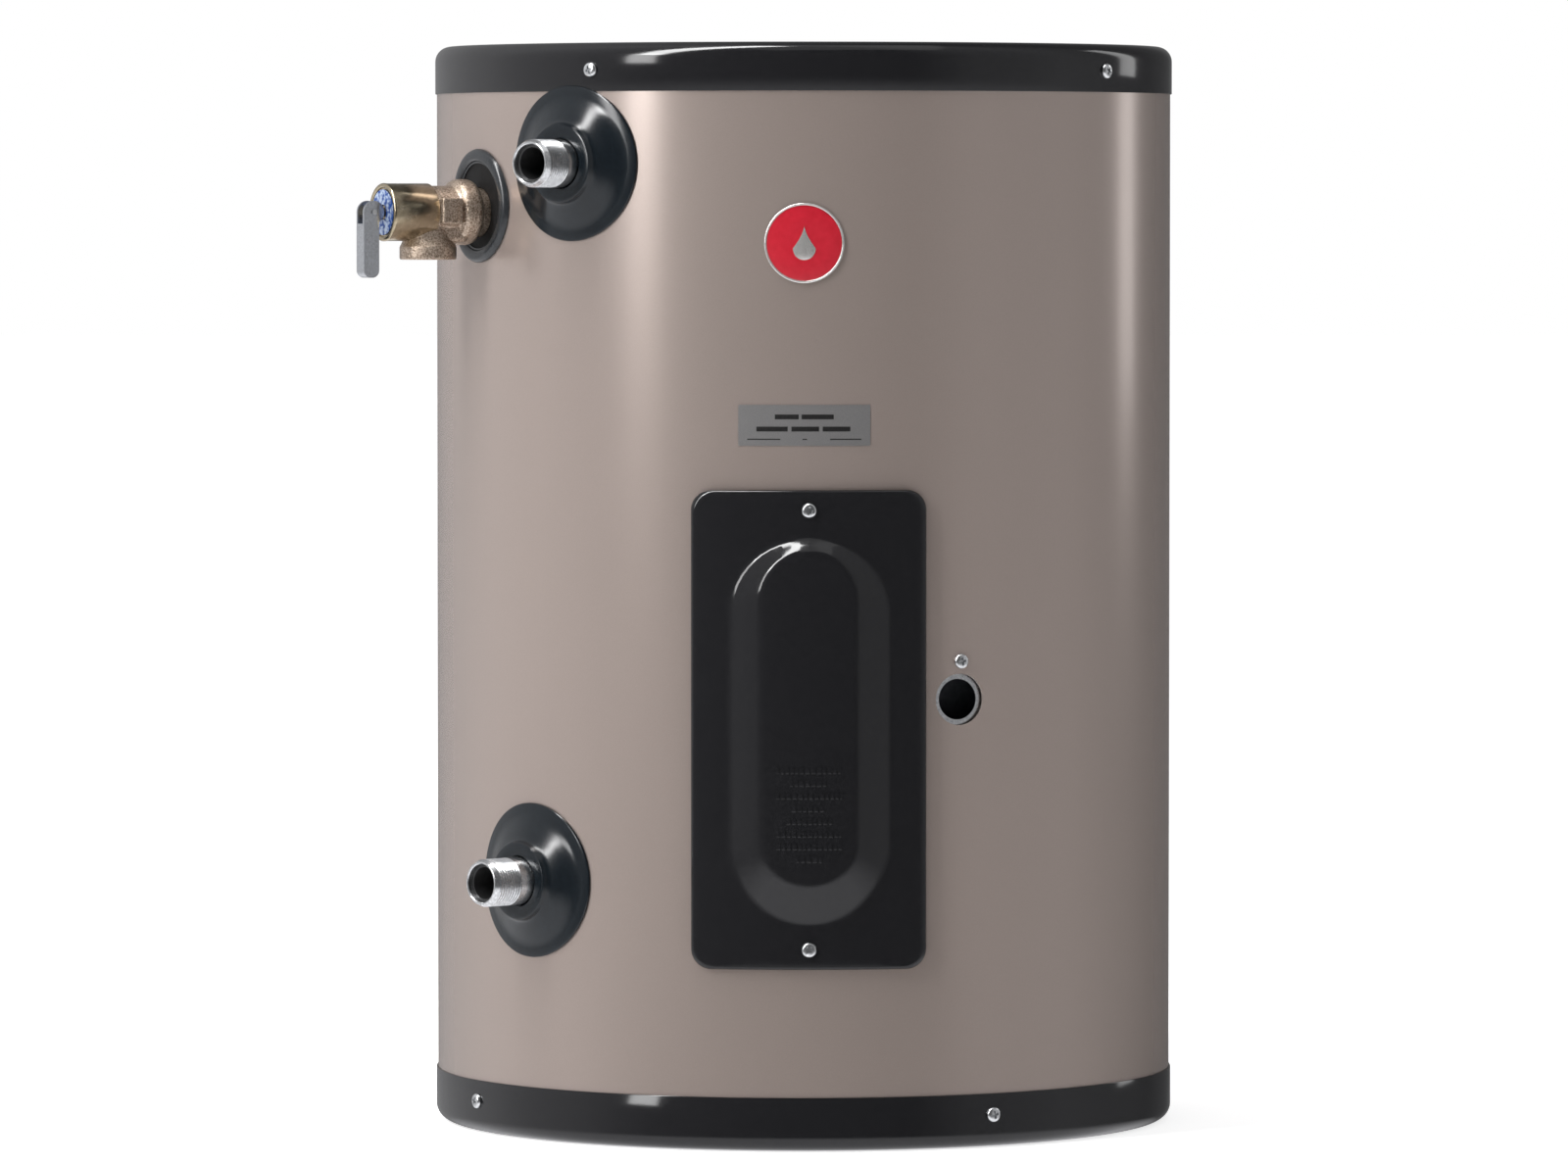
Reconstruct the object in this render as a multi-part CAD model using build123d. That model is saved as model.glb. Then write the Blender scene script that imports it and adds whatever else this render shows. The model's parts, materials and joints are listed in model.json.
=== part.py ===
from build123d import *
import os
from math import cos, degrees, radians, sin, sqrt

# Tank water heater: a steel tank in foam inside a sheet jacket, with pressed pans at both ends.
# Millimetres. Origin: tank axis, underside of the bottom pan. +Z up, the front faces -Y, +X right.
# Angles go round the tank axis from the front (0), positive to the right seen from the front.

os.makedirs("parts", exist_ok=True)

# --- Fits shared by the pieces
FIT = 0.1                    # curved faces of one body, side by side
SEAT = 0.02                  # a flat underside on a curved face
MOVING = 0.4                 # pieces of different bodies
SHAFT_FIT = 0.08             # radial running clearance of a shaft in its bore

# --- Casing
HEIGHT = 604.0
JACKET_R = 206.5
SHEET = 0.8                  # jacket and pan sheet
TOP_SKIRT = 26.6
BOTTOM_SKIRT = 29.5
PAN_ROUND = 8.5              # outer corner of both pans
TOP_RECESS_R = 182.0         # the middle of the top pan is pressed in
TOP_RECESS = 2.0
SEAM_W = 9.0                 # lock seam down the back of the jacket
SEAM_PROUD = 1.4
SEAM_END = 2.0               # from the seam's ends to the pans

# --- Insulation and tank
FOAM_T = 27.7
BASE_PAD_T = 21.2
TANK_WALL = 2.0
TANK_TOP_DROP = 38.0         # from the top of the heater to the end of the tank shell
HEAD_FLANGE = 8.0
HEAD_RISE = 22.0
FOAM_SEAM = 0.3              # between blocks of insulation

# --- Water connections: 3/4 inch pipe nipples in welded spuds, with rubber boots
PIPE_R = 13.335
PIPE_WALL = 2.885
NIPPLE_LENGTH = 76.2
NIPPLE_THREAD = 19.0         # length of the thread at each end
THREAD_BELOW_PIPE = 0.2      # thread's crest below the pipe's surface
SPUD_WALL = 4.665
SPUD_LENGTH = 20.0
SPUD_INSIDE = 8.0            # how far a spud stands inside the tank shell
LINER_WALL = 1.5
LINER_SET_BACK = 3.0         # from the nipple's end to the liner's
HOT_ANGLE = -37.9
HOT_BELOW_TOP = 66.0
HOT_PROUD = 37.0             # nipple end from the jacket
HOT_LINER_LENGTH = 92.0
COLD_ANGLE = -46.3
COLD_Z = 144.0
COLD_PROUD = 38.5
COLD_LINER_LENGTH = 150.0
BOOT_R = 42.5
BOOT_LIP = 1.8               # flange thickness on the jacket
BOOT_CONE_R = 36.0
BOOT_HUB_R = 23.5
BOOT_HUB_WALL = 7.665
BOOT_SHOULDER = 8.0
BOOT_HEIGHT = 12.0
PIPE_HOLE_MARGIN = 4.0       # holes in the jacket behind the boots, round the spuds

# --- Access cover
COVER_ANGLE = 0.7
COVER_W = 128.2
COVER_H = 261.2
COVER_Z = 230.1
COVER_CORNER = 11.0
COVER_PROUD = 4.5
COVER_SHEET = 0.8
PANEL_SIDE = 20.75           # cover's edge to the foot of the raised stadium panel
PANEL_END = 25.5
PANEL_SLOPE_SIDE = 17.4      # foot of the panel to its flat
PANEL_SLOPE_END = 14.15
PANEL_TOP_SHIFT = 6.0        # the flat sits higher than the foot's middle
PANEL_RISE = 8.0
COVER_SCREW_EDGE = 11.15     # screws from the cover's top and bottom edges
ACCESS_LAP_SIDE = 12.1       # cover beyond the opening in the jacket
ACCESS_LAP_END = 19.1
ACCESS_CORNER = 6.0
BLOCK_DEPTH = 13.5           # insulating block behind the panel

# --- Wiring box and conduit entry
BOX_WALL = 2.0
BOX_SIDE_MARGIN = 4.0        # beyond the opening in the jacket
BOX_END_MARGIN = 6.0
POCKET_REACH = 108.0         # side pocket, from the axis
POCKET_H = 75.0
CONDUIT_ANGLE = 24.2
CONDUIT_Z = 245.9
CONDUIT_R = 11.1             # 7/8 inch knockout for 1/2 inch conduit
CONDUIT_JACKET_R = 14.0
CONDUIT_SET_BACK = 2.8       # plate face behind the jacket face
CONDUIT_PLATE_T = 1.2
CONDUIT_PLATE_W = 40.0
CONDUIT_PLATE_BELOW = 18.0
GROUND_ABOVE = 20.8          # ground screw above the conduit hole
GROUND_MARGIN = 9.0          # plate above the ground screw

# --- Badge and label
BADGE_R = 21.8
BADGE_BELOW_TOP = 109.3
BADGE_T = 0.9
BADGE_RIM_W = 1.3
BADGE_RIM_T = 0.6
LABEL_W = 71.8
LABEL_H = 22.3
LABEL_ABOVE_COVER = 35.1     # label's middle above the cover's top edge
LABEL_T = 0.3

# --- Screws
HEAD_R = 4.2
HEAD_H = 2.4
HEAD_ROUND = 1.4
SHANK_R = 1.9
SHANK_LENGTH = 9.0
CROSS_W = 0.9
CROSS_L = 4.6
CROSS_DEPTH = 1.3
TOP_SCREW_ANGLES = [-34.0, 53.4, 146.0, 233.4]
TOP_SCREW_BELOW = 15.0
BOTTOM_SCREW_ANGLES = [-61.0, 29.7, 119.0, 209.7]
BOTTOM_SCREW_Z = 18.0

# --- Relief valve, along its own outward axis; stations are distances beyond the jacket face
VALVE_ALONG_JACKET = 81.1    # round the jacket from the hot outlet to the valve
VALVE_BELOW_TOP = 92.7
VALVE_SHANK_R = 13.2
VALVE_SHANK_INSIDE = 41.5
HUB_R = 18.2
HUB_NEAR = 5.0
HUB_FAR = 18.0
HUB_ROUND = 3.5
BARREL_R = 14.6
BARREL_FAR = 45.0
WATERWAY_R = 8.0
VALVE_SEAT = 15.5
BARREL_WALL = 3.0
BONNET_WALL = 1.15
BONNET_NEAR = 18.5
BONNET_FAR = 59.7
BONNET_END_T = 1.4
BEZEL_W = 2.2
BEZEL_T = 1.0
OUTLET_AT = 32.0
OUTLET_BELOW_BARREL = 11.6
OUTLET_FLANGE_WALL = 3.65
OUTLET_FLANGE_H = 8.2
OUTLET_NECK_WALL = 1.6
OUTLET_THREAD_R = 12.1       # 3/4 inch female pipe thread
OUTLET_THREAD_DEPTH = 15.0
OUTLET_BORE_R = 8.5
FOIL_MARGIN = 1.05
FOIL_T = 0.35
FOIL_HOLE_R = 4.2
STEM_R = 2.2
STEM_LIFT = 3.0
DISC_CLEAR = 1.0             # disc to the chamber's wall
DISC_T = 3.0
PROBE_R = 4.8
PROBE_LENGTH = 112.0
SPRING_R = 7.6
SPRING_WIRE_R = 1.0
SPRING_TURNS = 6
LEVER_W = 9.0
LEVER_WALL = 1.5
LEVER_EYE_R = 6.3            # round end of the lever, about its pin
LEVER_DEPTH = 9.4
LEVER_LENGTH = 36.0          # pin to tip
LEVER_GAP = 0.6              # lever to the bonnet's bezel
EYE_R = 3.2
EYE_W = 5.0
PIN_R = 1.5
PIN_LENGTH = 10.6
ESCUTCHEON_R = 31.5
ESCUTCHEON_HOLE_R = 23.5
ESCUTCHEON_T = 3.2
ESCUTCHEON_ABOVE = 3.5       # ring's middle above the valve's axis

# --- Heating element, thermostat and limit, at the front; stations from the tank's outer face
ELEMENT_Z = 150.0
ELEMENT_SPUD_R = 23.0
ELEMENT_SPUD_PROUD = 8.0
ELEMENT_SPUD_INSIDE = 4.0
ELEMENT_THREAD_R = 16.5      # 1 inch straight pipe thread
ELEMENT_THREAD_INSIDE = 8.0
GASKET_T = 2.0
GASKET_R = 21.0
ELEMENT_HEX_R = 22.0         # across corners of a 1 1/2 inch hex
ELEMENT_HEX_H = 7.0
BLOCK_W = 30.0
BLOCK_H = 24.0
TERMINAL_BLOCK_T = 5.8
SHEATH_R = 4.0
SHEATH_SPACING = 18.0
SHEATH_REACH = 258.0         # from the tank's outer face to the end of the loop
CONTROL_W = 48.0
CONTROL_DEPTH = 18.0
CONTROL_SEAT = 0.3
THERMOSTAT_Z = 215.0         # lower edge
THERMOSTAT_H = 47.0
LIMIT_H = 36.0
CONTROL_GAP = 2.0
TERMINAL_X = 15.0
TERMINAL_MARGIN = 8.0        # terminal screws from the upper and lower edges
TERMINAL_HEAD_R = 3.2
TERMINAL_HEAD_H = 2.2
TERMINAL_SHANK_R = 1.6
TERMINAL_SHANK = 5.0
DIAL_R = 8.5
DIAL_T = 3.6
DIAL_SHAFT_R = 3.0
DIAL_SHAFT = 8.0
BUTTON_R = 4.0
BUTTON_PROUD = 3.0
BUTTON_TRAVEL = 1.5
BUTTON_DEPTH = 5.0
SHIELD_T = 1.0
SHIELD_W = 46.0
SHIELD_RISE = 3.9            # outer face of the shield above the controls
BRACKET_T = 1.2
BRACKET_PAD_H = 20.0
WIRE_R = 1.6
WIRE_X = 11.0

# --- Anode
ANODE_ANGLE = 120.0
ANODE_OFFSET = 90.0
ANODE_R = 9.5
ANODE_LENGTH = 390.0
ANODE_SPUD_R = 20.0
ANODE_SPUD_TOP_DROP = 11.8   # from the heater's top to the spud's top
ANODE_SPUD_H = 14.0
ANODE_HEX_R = 15.5
ANODE_HEX_H = 6.0
ANODE_THREAD_R = 13.2
ANODE_THREAD = 18.0

# --- Drain valve; stations are distances beyond the jacket face
DRAIN_ANGLE = -135.0
DRAIN_Z = 75.0
DRAIN_SHANK_R = 13.2
DRAIN_HOLE_R = 14.0
DRAIN_HEX_R = 18.0
DRAIN_HEX_NEAR = 1.0
DRAIN_HEX_T = 7.0
DRAIN_BARREL_R = 13.2
DRAIN_BARREL_FAR = 30.0
DRAIN_NUT_R = 13.0
DRAIN_NUT_T = 6.0
DRAIN_WATERWAY_R = 7.5
DRAIN_SEAT = 10.0
DRAIN_CHAMBER_R = 10.4
DRAIN_CHAMBER_FAR = 28.0
HOSE_AT = 18.0
HOSE_R = 13.45               # 3/4 inch garden hose thread
HOSE_DROP = 33.0
HOSE_THREAD_LENGTH = 14.0
HOSE_NECK_R = 12.6
HOSE_BORE_R = 9.0
DRAIN_STEM_R = 3.0
DRAIN_STEM_NEAR = 18.0
CARRIER_CLEAR = 1.0
CARRIER_T = 3.0
CARRIER_SLEEVE_R = 5.6
CARRIER_SLEEVE = 10.0
DRAIN_LIFT = 4.0
HANDLE_R = 17.0
HANDLE_T = 8.0
HANDLE_STANDOFF = 2.5
HANDLE_LOBES = 6
HANDLE_SCALLOP_R = 5.0

# --- Worked out from the driving sizes
VALVE_ANGLE = HOT_ANGLE - degrees(VALVE_ALONG_JACKET / JACKET_R)
PIPE_BORE_R = PIPE_R - PIPE_WALL
NIPPLE_THREAD_R = PIPE_R - THREAD_BELOW_PIPE
SPUD_R = PIPE_R + SPUD_WALL
BOOT_HUB_TOP_R = PIPE_R + BOOT_HUB_WALL
PIPE_HOLE_R = SPUD_R + PIPE_HOLE_MARGIN
PANEL_W = COVER_W - 2 * PANEL_SIDE
PANEL_H = COVER_H - 2 * PANEL_END
PANEL_TOP_W = PANEL_W - 2 * PANEL_SLOPE_SIDE
PANEL_TOP_H = PANEL_H - 2 * PANEL_SLOPE_END
COVER_SCREW_SPAN = COVER_H - 2 * COVER_SCREW_EDGE
ACCESS_W = COVER_W - 2 * ACCESS_LAP_SIDE
ACCESS_H = COVER_H - 2 * ACCESS_LAP_END
BOX_W = ACCESS_W + 2 * BOX_SIDE_MARGIN
CHAMBER_R = BARREL_R - BARREL_WALL
OUTLET_DROP = BARREL_R + OUTLET_BELOW_BARREL
BONNET_R = BARREL_R + FIT + BONNET_WALL
FOIL_R = BONNET_R - BEZEL_W - FOIL_MARGIN
DISC_R = CHAMBER_R - DISC_CLEAR
OUTLET_FLANGE_R = OUTLET_THREAD_R + OUTLET_FLANGE_WALL
OUTLET_NECK_R = OUTLET_THREAD_R + OUTLET_NECK_WALL
CARRIER_R = DRAIN_CHAMBER_R - CARRIER_CLEAR
INNER_R = JACKET_R - SHEET
TANK_R = INNER_R - FOAM_T
TANK_INNER_R = TANK_R - TANK_WALL
PAN_R = JACKET_R + FIT + SHEET
TANK_Z0 = SHEET + BASE_PAD_T
TANK_Z1 = HEIGHT - TANK_TOP_DROP
TOP_PAN_Z = HEIGHT - TOP_SKIRT
HOT_Z = HEIGHT - HOT_BELOW_TOP
VALVE_Z = HEIGHT - VALVE_BELOW_TOP
BADGE_Z = HEIGHT - BADGE_BELOW_TOP
COVER_TOP = COVER_Z + COVER_H / 2
COVER_FACE_R = JACKET_R + COVER_PROUD
PANEL_FACE_R = COVER_FACE_R + PANEL_RISE
CONTROL_BACK = TANK_R + CONTROL_SEAT
CONTROL_FACE = CONTROL_BACK + CONTROL_DEPTH
LIMIT_Z = THERMOSTAT_Z + THERMOSTAT_H + CONTROL_GAP
DIAL_Z = THERMOSTAT_Z + THERMOSTAT_H / 2
BUTTON_Z = LIMIT_Z + LIMIT_H / 2
ELEMENT_HEX_AT = TANK_R + ELEMENT_SPUD_PROUD + GASKET_T
BLOCK_AT = ELEMENT_HEX_AT + ELEMENT_HEX_H
LEVER_PIN_AT = BONNET_FAR + BEZEL_T + LEVER_GAP + LEVER_EYE_R
HOLE_CLEAR = SHANK_R + FIT


# --- Shapes
def rod(radius, start, end):
    """Round bar along Z between two stations."""
    bar = Cylinder(radius, end - start, align=(Align.CENTER, Align.CENTER, Align.MIN))
    return Pos(0, 0, start) * bar


def turned(*points):
    """Solid of revolution about Z from (radius, station) points."""
    outline = Polyline(*[(radius, 0, station) for radius, station in points], close=True)
    return revolve(make_face(outline), Axis.Z)


def tube(inner, outer, start, end):
    """Round tube along Z between two stations."""
    return turned((inner, start), (outer, start), (outer, end), (inner, end))


def slab(x_range, y_range, z_range):
    """Rectangular block from its limits on each axis."""
    sizes = [high - low for low, high in (x_range, y_range, z_range)]
    block = Box(*sizes, align=(Align.MIN, Align.MIN, Align.MIN))
    return Pos(x_range[0], y_range[0], z_range[0]) * block


def prism(outline, start, end):
    """Flat outline drawn on XY, carried along Z between two stations."""
    return extrude(Pos(0, 0, start) * outline, amount=end - start)


def hexagon(corner_r, start, end):
    """Hexagonal bar along Z between two stations."""
    return prism(RegularPolygon(corner_r, 6), start, end)


def joined(pieces):
    """Pieces as one shape."""
    whole = pieces[0]
    for piece in pieces[1:]:
        whole = whole + piece
    return whole


def outward(angle, height):
    """Place for what points away from the tank axis: local Z outward, local Y up."""
    turn = radians(angle)
    side = (cos(turn), sin(turn), 0)
    away = (sin(turn), -cos(turn), 0)
    return Location(Plane(origin=(0, 0, height), x_dir=side, z_dir=away))


def downward(station):
    """Place, inside an outward one, for a branch that leaves it straight down."""
    return Location(Plane(origin=(0, 0, station), x_dir=(1, 0, 0), z_dir=(0, -1, 0)))


def on_jacket(shape, start, end):
    """The part of a shape between two depths over the jacket's face."""
    return shape & tube(JACKET_R + start, JACKET_R + end, 0, HEIGHT)


def round_hole(angle, height, radius):
    """Radial bar that cuts a round hole through everything outside the tank."""
    start = sqrt(TANK_R**2 - radius**2) - 1
    return outward(angle, height) * rod(radius, start, JACKET_R + 30)


def stadium(width, height):
    """Upright outline with round ends."""
    return SlotOverall(height, width, rotation=90)


# --- Screws
def pan_screw(shank_length=SHANK_LENGTH):
    """Cross-recess screw, head outward, its underside at station 0."""
    head = rod(HEAD_R, 0, HEAD_H)
    head = fillet(head.edges().sort_by(Axis.Z)[-1], HEAD_ROUND)
    cross = Box(CROSS_W, CROSS_L, CROSS_DEPTH * 2) + Box(CROSS_L, CROSS_W, CROSS_DEPTH * 2)
    shank = turned((0, 0), (SHANK_R, 0), (SHANK_R, SHANK_R - shank_length), (0, -shank_length))
    return head - Pos(0, 0, HEAD_H) * cross + shank


def screw_at(angle, height, seat_r):
    """Pan screw seated on a face of this radius."""
    return outward(angle, height) * Pos(0, 0, seat_r + SEAT) * pan_screw()


def screw_holes(angles, height, radius=HOLE_CLEAR):
    """Radial holes for a row of screws."""
    return joined([round_hole(angle, height, radius) for angle in angles])


def cover_screw_heights():
    """Heights of the two access cover screws."""
    return [COVER_Z - COVER_SCREW_SPAN / 2, COVER_Z + COVER_SCREW_SPAN / 2]


def all_casing_holes(radius=HOLE_CLEAR):
    """Every screw's way through the jacket and into the foam."""
    top = screw_holes(TOP_SCREW_ANGLES, HEIGHT - TOP_SCREW_BELOW, radius)
    bottom = screw_holes(BOTTOM_SCREW_ANGLES, BOTTOM_SCREW_Z, radius)
    cover = joined([round_hole(COVER_ANGLE, z, radius) for z in cover_screw_heights()])
    ground = round_hole(CONDUIT_ANGLE, CONDUIT_Z + GROUND_ABOVE, radius)
    return top + bottom + cover + ground


# --- Casing
def jacket():
    """Wrapped sheet with its openings, and the lock seam down the back."""
    sheet = tube(INNER_R, JACKET_R, SHEET + PAN_ROUND, HEIGHT - SHEET - PAN_ROUND)
    seam_ends = (BOTTOM_SKIRT + SEAM_END, TOP_PAN_Z - SEAM_END)
    seam = slab((-SEAM_W / 2, SEAM_W / 2), (INNER_R, JACKET_R + SEAM_PROUD), seam_ends)
    seam -= rod(INNER_R + SHEET / 2, 0, HEIGHT)
    opening = prism(RectangleRounded(ACCESS_W, ACCESS_H, ACCESS_CORNER), TANK_R, JACKET_R + 30)
    sheet = sheet + seam - outward(COVER_ANGLE, COVER_Z) * opening
    sheet -= round_hole(HOT_ANGLE, HOT_Z, PIPE_HOLE_R)
    sheet -= round_hole(COLD_ANGLE, COLD_Z, PIPE_HOLE_R)
    sheet -= round_hole(VALVE_ANGLE, VALVE_Z + ESCUTCHEON_ABOVE, ESCUTCHEON_HOLE_R)
    sheet -= round_hole(DRAIN_ANGLE, DRAIN_Z, DRAIN_HOLE_R)
    sheet -= round_hole(CONDUIT_ANGLE, CONDUIT_Z, CONDUIT_JACKET_R)
    return sheet - all_casing_holes()


def dish(skirt):
    """Plain pan, open upward, its underside at station 0."""
    outer = rod(PAN_R, 0, skirt)
    outer = fillet(outer.edges().sort_by(Axis.Z)[0], PAN_ROUND)
    inner = rod(PAN_R - SHEET, SHEET, skirt + 1)
    inner = fillet(inner.edges().sort_by(Axis.Z)[0], PAN_ROUND - SHEET)
    return outer - inner


def bottom_pan():
    """Black pressed base."""
    return dish(BOTTOM_SKIRT) - screw_holes(BOTTOM_SCREW_ANGLES, BOTTOM_SCREW_Z)


def top_pan():
    """Black pressed lid, its middle a little lower than its rim."""
    lid = Pos(0, 0, HEIGHT) * Rot(180, 0, 0) * dish(TOP_SKIRT)
    step = rod(TOP_RECESS_R + SHEET, HEIGHT - TOP_RECESS - SHEET, HEIGHT)
    lid = lid + step - rod(TOP_RECESS_R, HEIGHT - TOP_RECESS, HEIGHT + 1)
    return lid - screw_holes(TOP_SCREW_ANGLES, HEIGHT - TOP_SCREW_BELOW)


def cover_plate(inset, face_r, foot_r):
    """Curved plate with square-cut sides, between two radii."""
    outline = RectangleRounded(COVER_W - 2 * inset, COVER_H - 2 * inset, COVER_CORNER - inset)
    block = outward(COVER_ANGLE, COVER_Z) * prism(outline, TANK_R, PANEL_FACE_R)
    return block & tube(foot_r, face_r, 0, HEIGHT)


def cover_panel(inset, face_r, start):
    """Raised panel with sloping walls, its top following the jacket's curve."""
    foot_at = sqrt(COVER_FACE_R**2 - (PANEL_W / 2) ** 2) - inset
    flat_at = sqrt(PANEL_FACE_R**2 - (PANEL_TOP_W / 2) ** 2) - inset
    foot = stadium(PANEL_W - 2 * inset, PANEL_H - 2 * inset)
    flat = stadium(PANEL_TOP_W - 2 * inset, PANEL_TOP_H - 2 * inset)
    flat = Pos(0, PANEL_TOP_SHIFT, 0) * flat
    walls = loft([Pos(0, 0, foot_at) * foot, Pos(0, 0, flat_at) * flat])
    body = prism(foot, start, foot_at) + walls + prism(flat, flat_at, PANEL_FACE_R + 1)
    return outward(COVER_ANGLE, COVER_Z) * body & rod(face_r, 0, HEIGHT)


def access_cover():
    """Pressed cover: a curved plate with turned-in edges and a raised stadium panel."""
    foot_r = JACKET_R + MOVING
    outside = cover_plate(0, COVER_FACE_R, foot_r)
    outside += cover_panel(0, PANEL_FACE_R, JACKET_R) - rod(foot_r, 0, HEIGHT)
    inside = cover_plate(COVER_SHEET, COVER_FACE_R - COVER_SHEET, foot_r - 1)
    inside += cover_panel(COVER_SHEET, PANEL_FACE_R - COVER_SHEET, TANK_R)
    holes = joined([round_hole(COVER_ANGLE, z, HOLE_CLEAR) for z in cover_screw_heights()])
    return outside - inside - holes


def access_insulation():
    """Insulating block held in the back of the cover's raised panel."""
    inset = COVER_SHEET + FIT
    block = cover_panel(inset, PANEL_FACE_R - inset, TANK_R)
    back = PANEL_FACE_R - inset - BLOCK_DEPTH
    behind = prism(Rectangle(COVER_W, COVER_H), 0, back)
    return block - outward(COVER_ANGLE, COVER_Z) * behind


def access_cover_screws():
    """Two screws through the cover."""
    return joined([screw_at(COVER_ANGLE, z, COVER_FACE_R) for z in cover_screw_heights()])


def pan_screws(angles, height):
    """Screws round one pan."""
    return joined([screw_at(angle, height, PAN_R) for angle in angles])


def badge_plate():
    """Round medallion with a raised rim."""
    place = outward(0, BADGE_Z)
    disc = on_jacket(place * rod(BADGE_R, TANK_R, PANEL_FACE_R), FIT, BADGE_T)
    rim = tube(BADGE_R - BADGE_RIM_W, BADGE_R, TANK_R, PANEL_FACE_R)
    return disc + on_jacket(place * rim, BADGE_T - FIT, BADGE_T + BADGE_RIM_T)


def badge_enamel():
    """Coloured face inside the badge's rim."""
    face = outward(0, BADGE_Z) * rod(BADGE_R - BADGE_RIM_W - FIT, TANK_R, PANEL_FACE_R)
    return on_jacket(face, BADGE_T + FIT / 2, BADGE_T + BADGE_RIM_T - FIT)


def name_label():
    """Thin plate above the cover."""
    outline = RectangleRounded(LABEL_W, LABEL_H, 1.0)
    place = outward(0, COVER_TOP + LABEL_ABOVE_COVER)
    return on_jacket(place * prism(outline, TANK_R, PANEL_FACE_R), FIT, FIT + LABEL_T)


# --- Wiring space
def box_outline(inset):
    """Prism towards the front: the space behind the cover and the pocket at the conduit hole."""
    half = BOX_W / 2 - inset
    tall = ACCESS_H / 2 + BOX_END_MARGIN - inset
    pocket = POCKET_H / 2 - inset
    depth = (-JACKET_R - 1, -TANK_R / 2)
    main = slab((-half, half), depth, (COVER_Z - tall, COVER_Z + tall))
    side = slab((0, POCKET_REACH - inset), depth, (CONDUIT_Z - pocket, CONDUIT_Z + pocket))
    return main + side


def wiring_box():
    """Dam round the wiring space, from the tank to the jacket."""
    ring = tube(TANK_R + FIT, INNER_R - FIT, 0, HEIGHT)
    return (box_outline(0) - box_outline(BOX_WALL)) & ring


def conduit_plate():
    """Flat plate with the conduit hole, behind the jacket."""
    face = JACKET_R - CONDUIT_SET_BACK
    half = CONDUIT_PLATE_W / 2
    tall = (-CONDUIT_PLATE_BELOW, GROUND_ABOVE + GROUND_MARGIN)
    plate = slab((-half, half), tall, (face - CONDUIT_PLATE_T, face))
    plate -= rod(CONDUIT_R, 0, JACKET_R)
    plate -= Pos(0, GROUND_ABOVE, 0) * rod(HOLE_CLEAR, 0, JACKET_R)
    return outward(CONDUIT_ANGLE, CONDUIT_Z) * plate


# --- Insulation
def dome(outer_r, base, rise):
    """Solid spherical cap on a level base."""
    sphere_r = (outer_r**2 + rise**2) / (2 * rise)
    ball = Pos(0, 0, base + rise - sphere_r) * Sphere(sphere_r)
    return ball & rod(outer_r + 1, base, base + rise + 1)


def side_insulation():
    """Foam between the tank and the jacket."""
    foam = tube(TANK_R + FIT, INNER_R - FIT, TANK_Z0 + FOAM_SEAM, TANK_Z1 - FOAM_SEAM)
    foam -= box_outline(-FIT)
    foam -= round_hole(HOT_ANGLE, HOT_Z, SPUD_R + 1)
    foam -= round_hole(COLD_ANGLE, COLD_Z, SPUD_R + 1)
    foam -= round_hole(VALVE_ANGLE, VALVE_Z, SPUD_R + 2)
    foam -= round_hole(DRAIN_ANGLE, DRAIN_Z, SPUD_R + 1)
    return foam - all_casing_holes(SHANK_R + 2 * FIT)


def top_insulation():
    """Foam over the top head, under the top pan."""
    under_lid = HEIGHT - TOP_RECESS - SHEET - FOAM_SEAM
    shoulder = HEIGHT - SHEET - PAN_ROUND - 1
    foam = rod(INNER_R - FIT, TANK_Z1 + FOAM_SEAM, shoulder)
    foam += rod(INNER_R - PAN_ROUND - 1, shoulder, under_lid)
    foam -= dome(TANK_INNER_R, TANK_Z1 - HEAD_RISE, 2 * HEAD_RISE)
    foam -= top_head_skin(HEAD_RISE * 2)
    foam -= anode_place() * rod(ANODE_SPUD_R + 1, 0, HEIGHT)
    return foam - screw_holes(TOP_SCREW_ANGLES, HEIGHT - TOP_SCREW_BELOW, SHANK_R + 2 * FIT)


def base_pad():
    """Pad that the tank stands on."""
    pad = rod(PAN_R - SHEET - PAN_ROUND, SHEET, TANK_Z0)
    return pad - screw_holes(BOTTOM_SCREW_ANGLES, BOTTOM_SCREW_Z, SHANK_R + 2 * FIT)


# --- Tank
def top_head_skin(thickness):
    """Domed disc of this thickness under the top head's outer face, grown by the foam's gap."""
    return dome(TANK_INNER_R, TANK_Z1 + FOAM_SEAM, HEAD_RISE) - rod(TANK_R, 0, TANK_Z1 - thickness)


def head(base, wall):
    """Domed head, its flange pointing down from its base."""
    outer_r = TANK_INNER_R - FIT
    outside = dome(outer_r, base, HEAD_RISE) + rod(outer_r, base - HEAD_FLANGE, base)
    inside = dome(outer_r - wall, base, HEAD_RISE - wall) + rod(outer_r - wall, base - HEAD_FLANGE, base)
    return outside - inside


def spud_ways():
    """Radial bars that cut a hole for each spud on the tank's side."""
    ways = []
    for angle, height, radius in SPUD_PLACES:
        ways.append(outward(angle, height) * rod(radius + FIT, TANK_INNER_R / 2, TANK_R + 5))
    return joined(ways)


def tank_shell():
    """Rolled shell with the holes for its spuds."""
    return tube(TANK_INNER_R, TANK_R, TANK_Z0, TANK_Z1) - spud_ways()


def tank_top_head():
    """Upper head, with a hole for the anode's spud."""
    skin = head(TANK_Z1, TANK_WALL) - anode_place() * rod(ANODE_SPUD_R + FIT, 0, HEIGHT)
    return skin - spud_ways()


def tank_bottom_head():
    """Lower head, domed up into the tank, its flange at the shell's lower end."""
    return head(TANK_Z0 + HEAD_FLANGE, TANK_WALL) - spud_ways()


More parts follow.
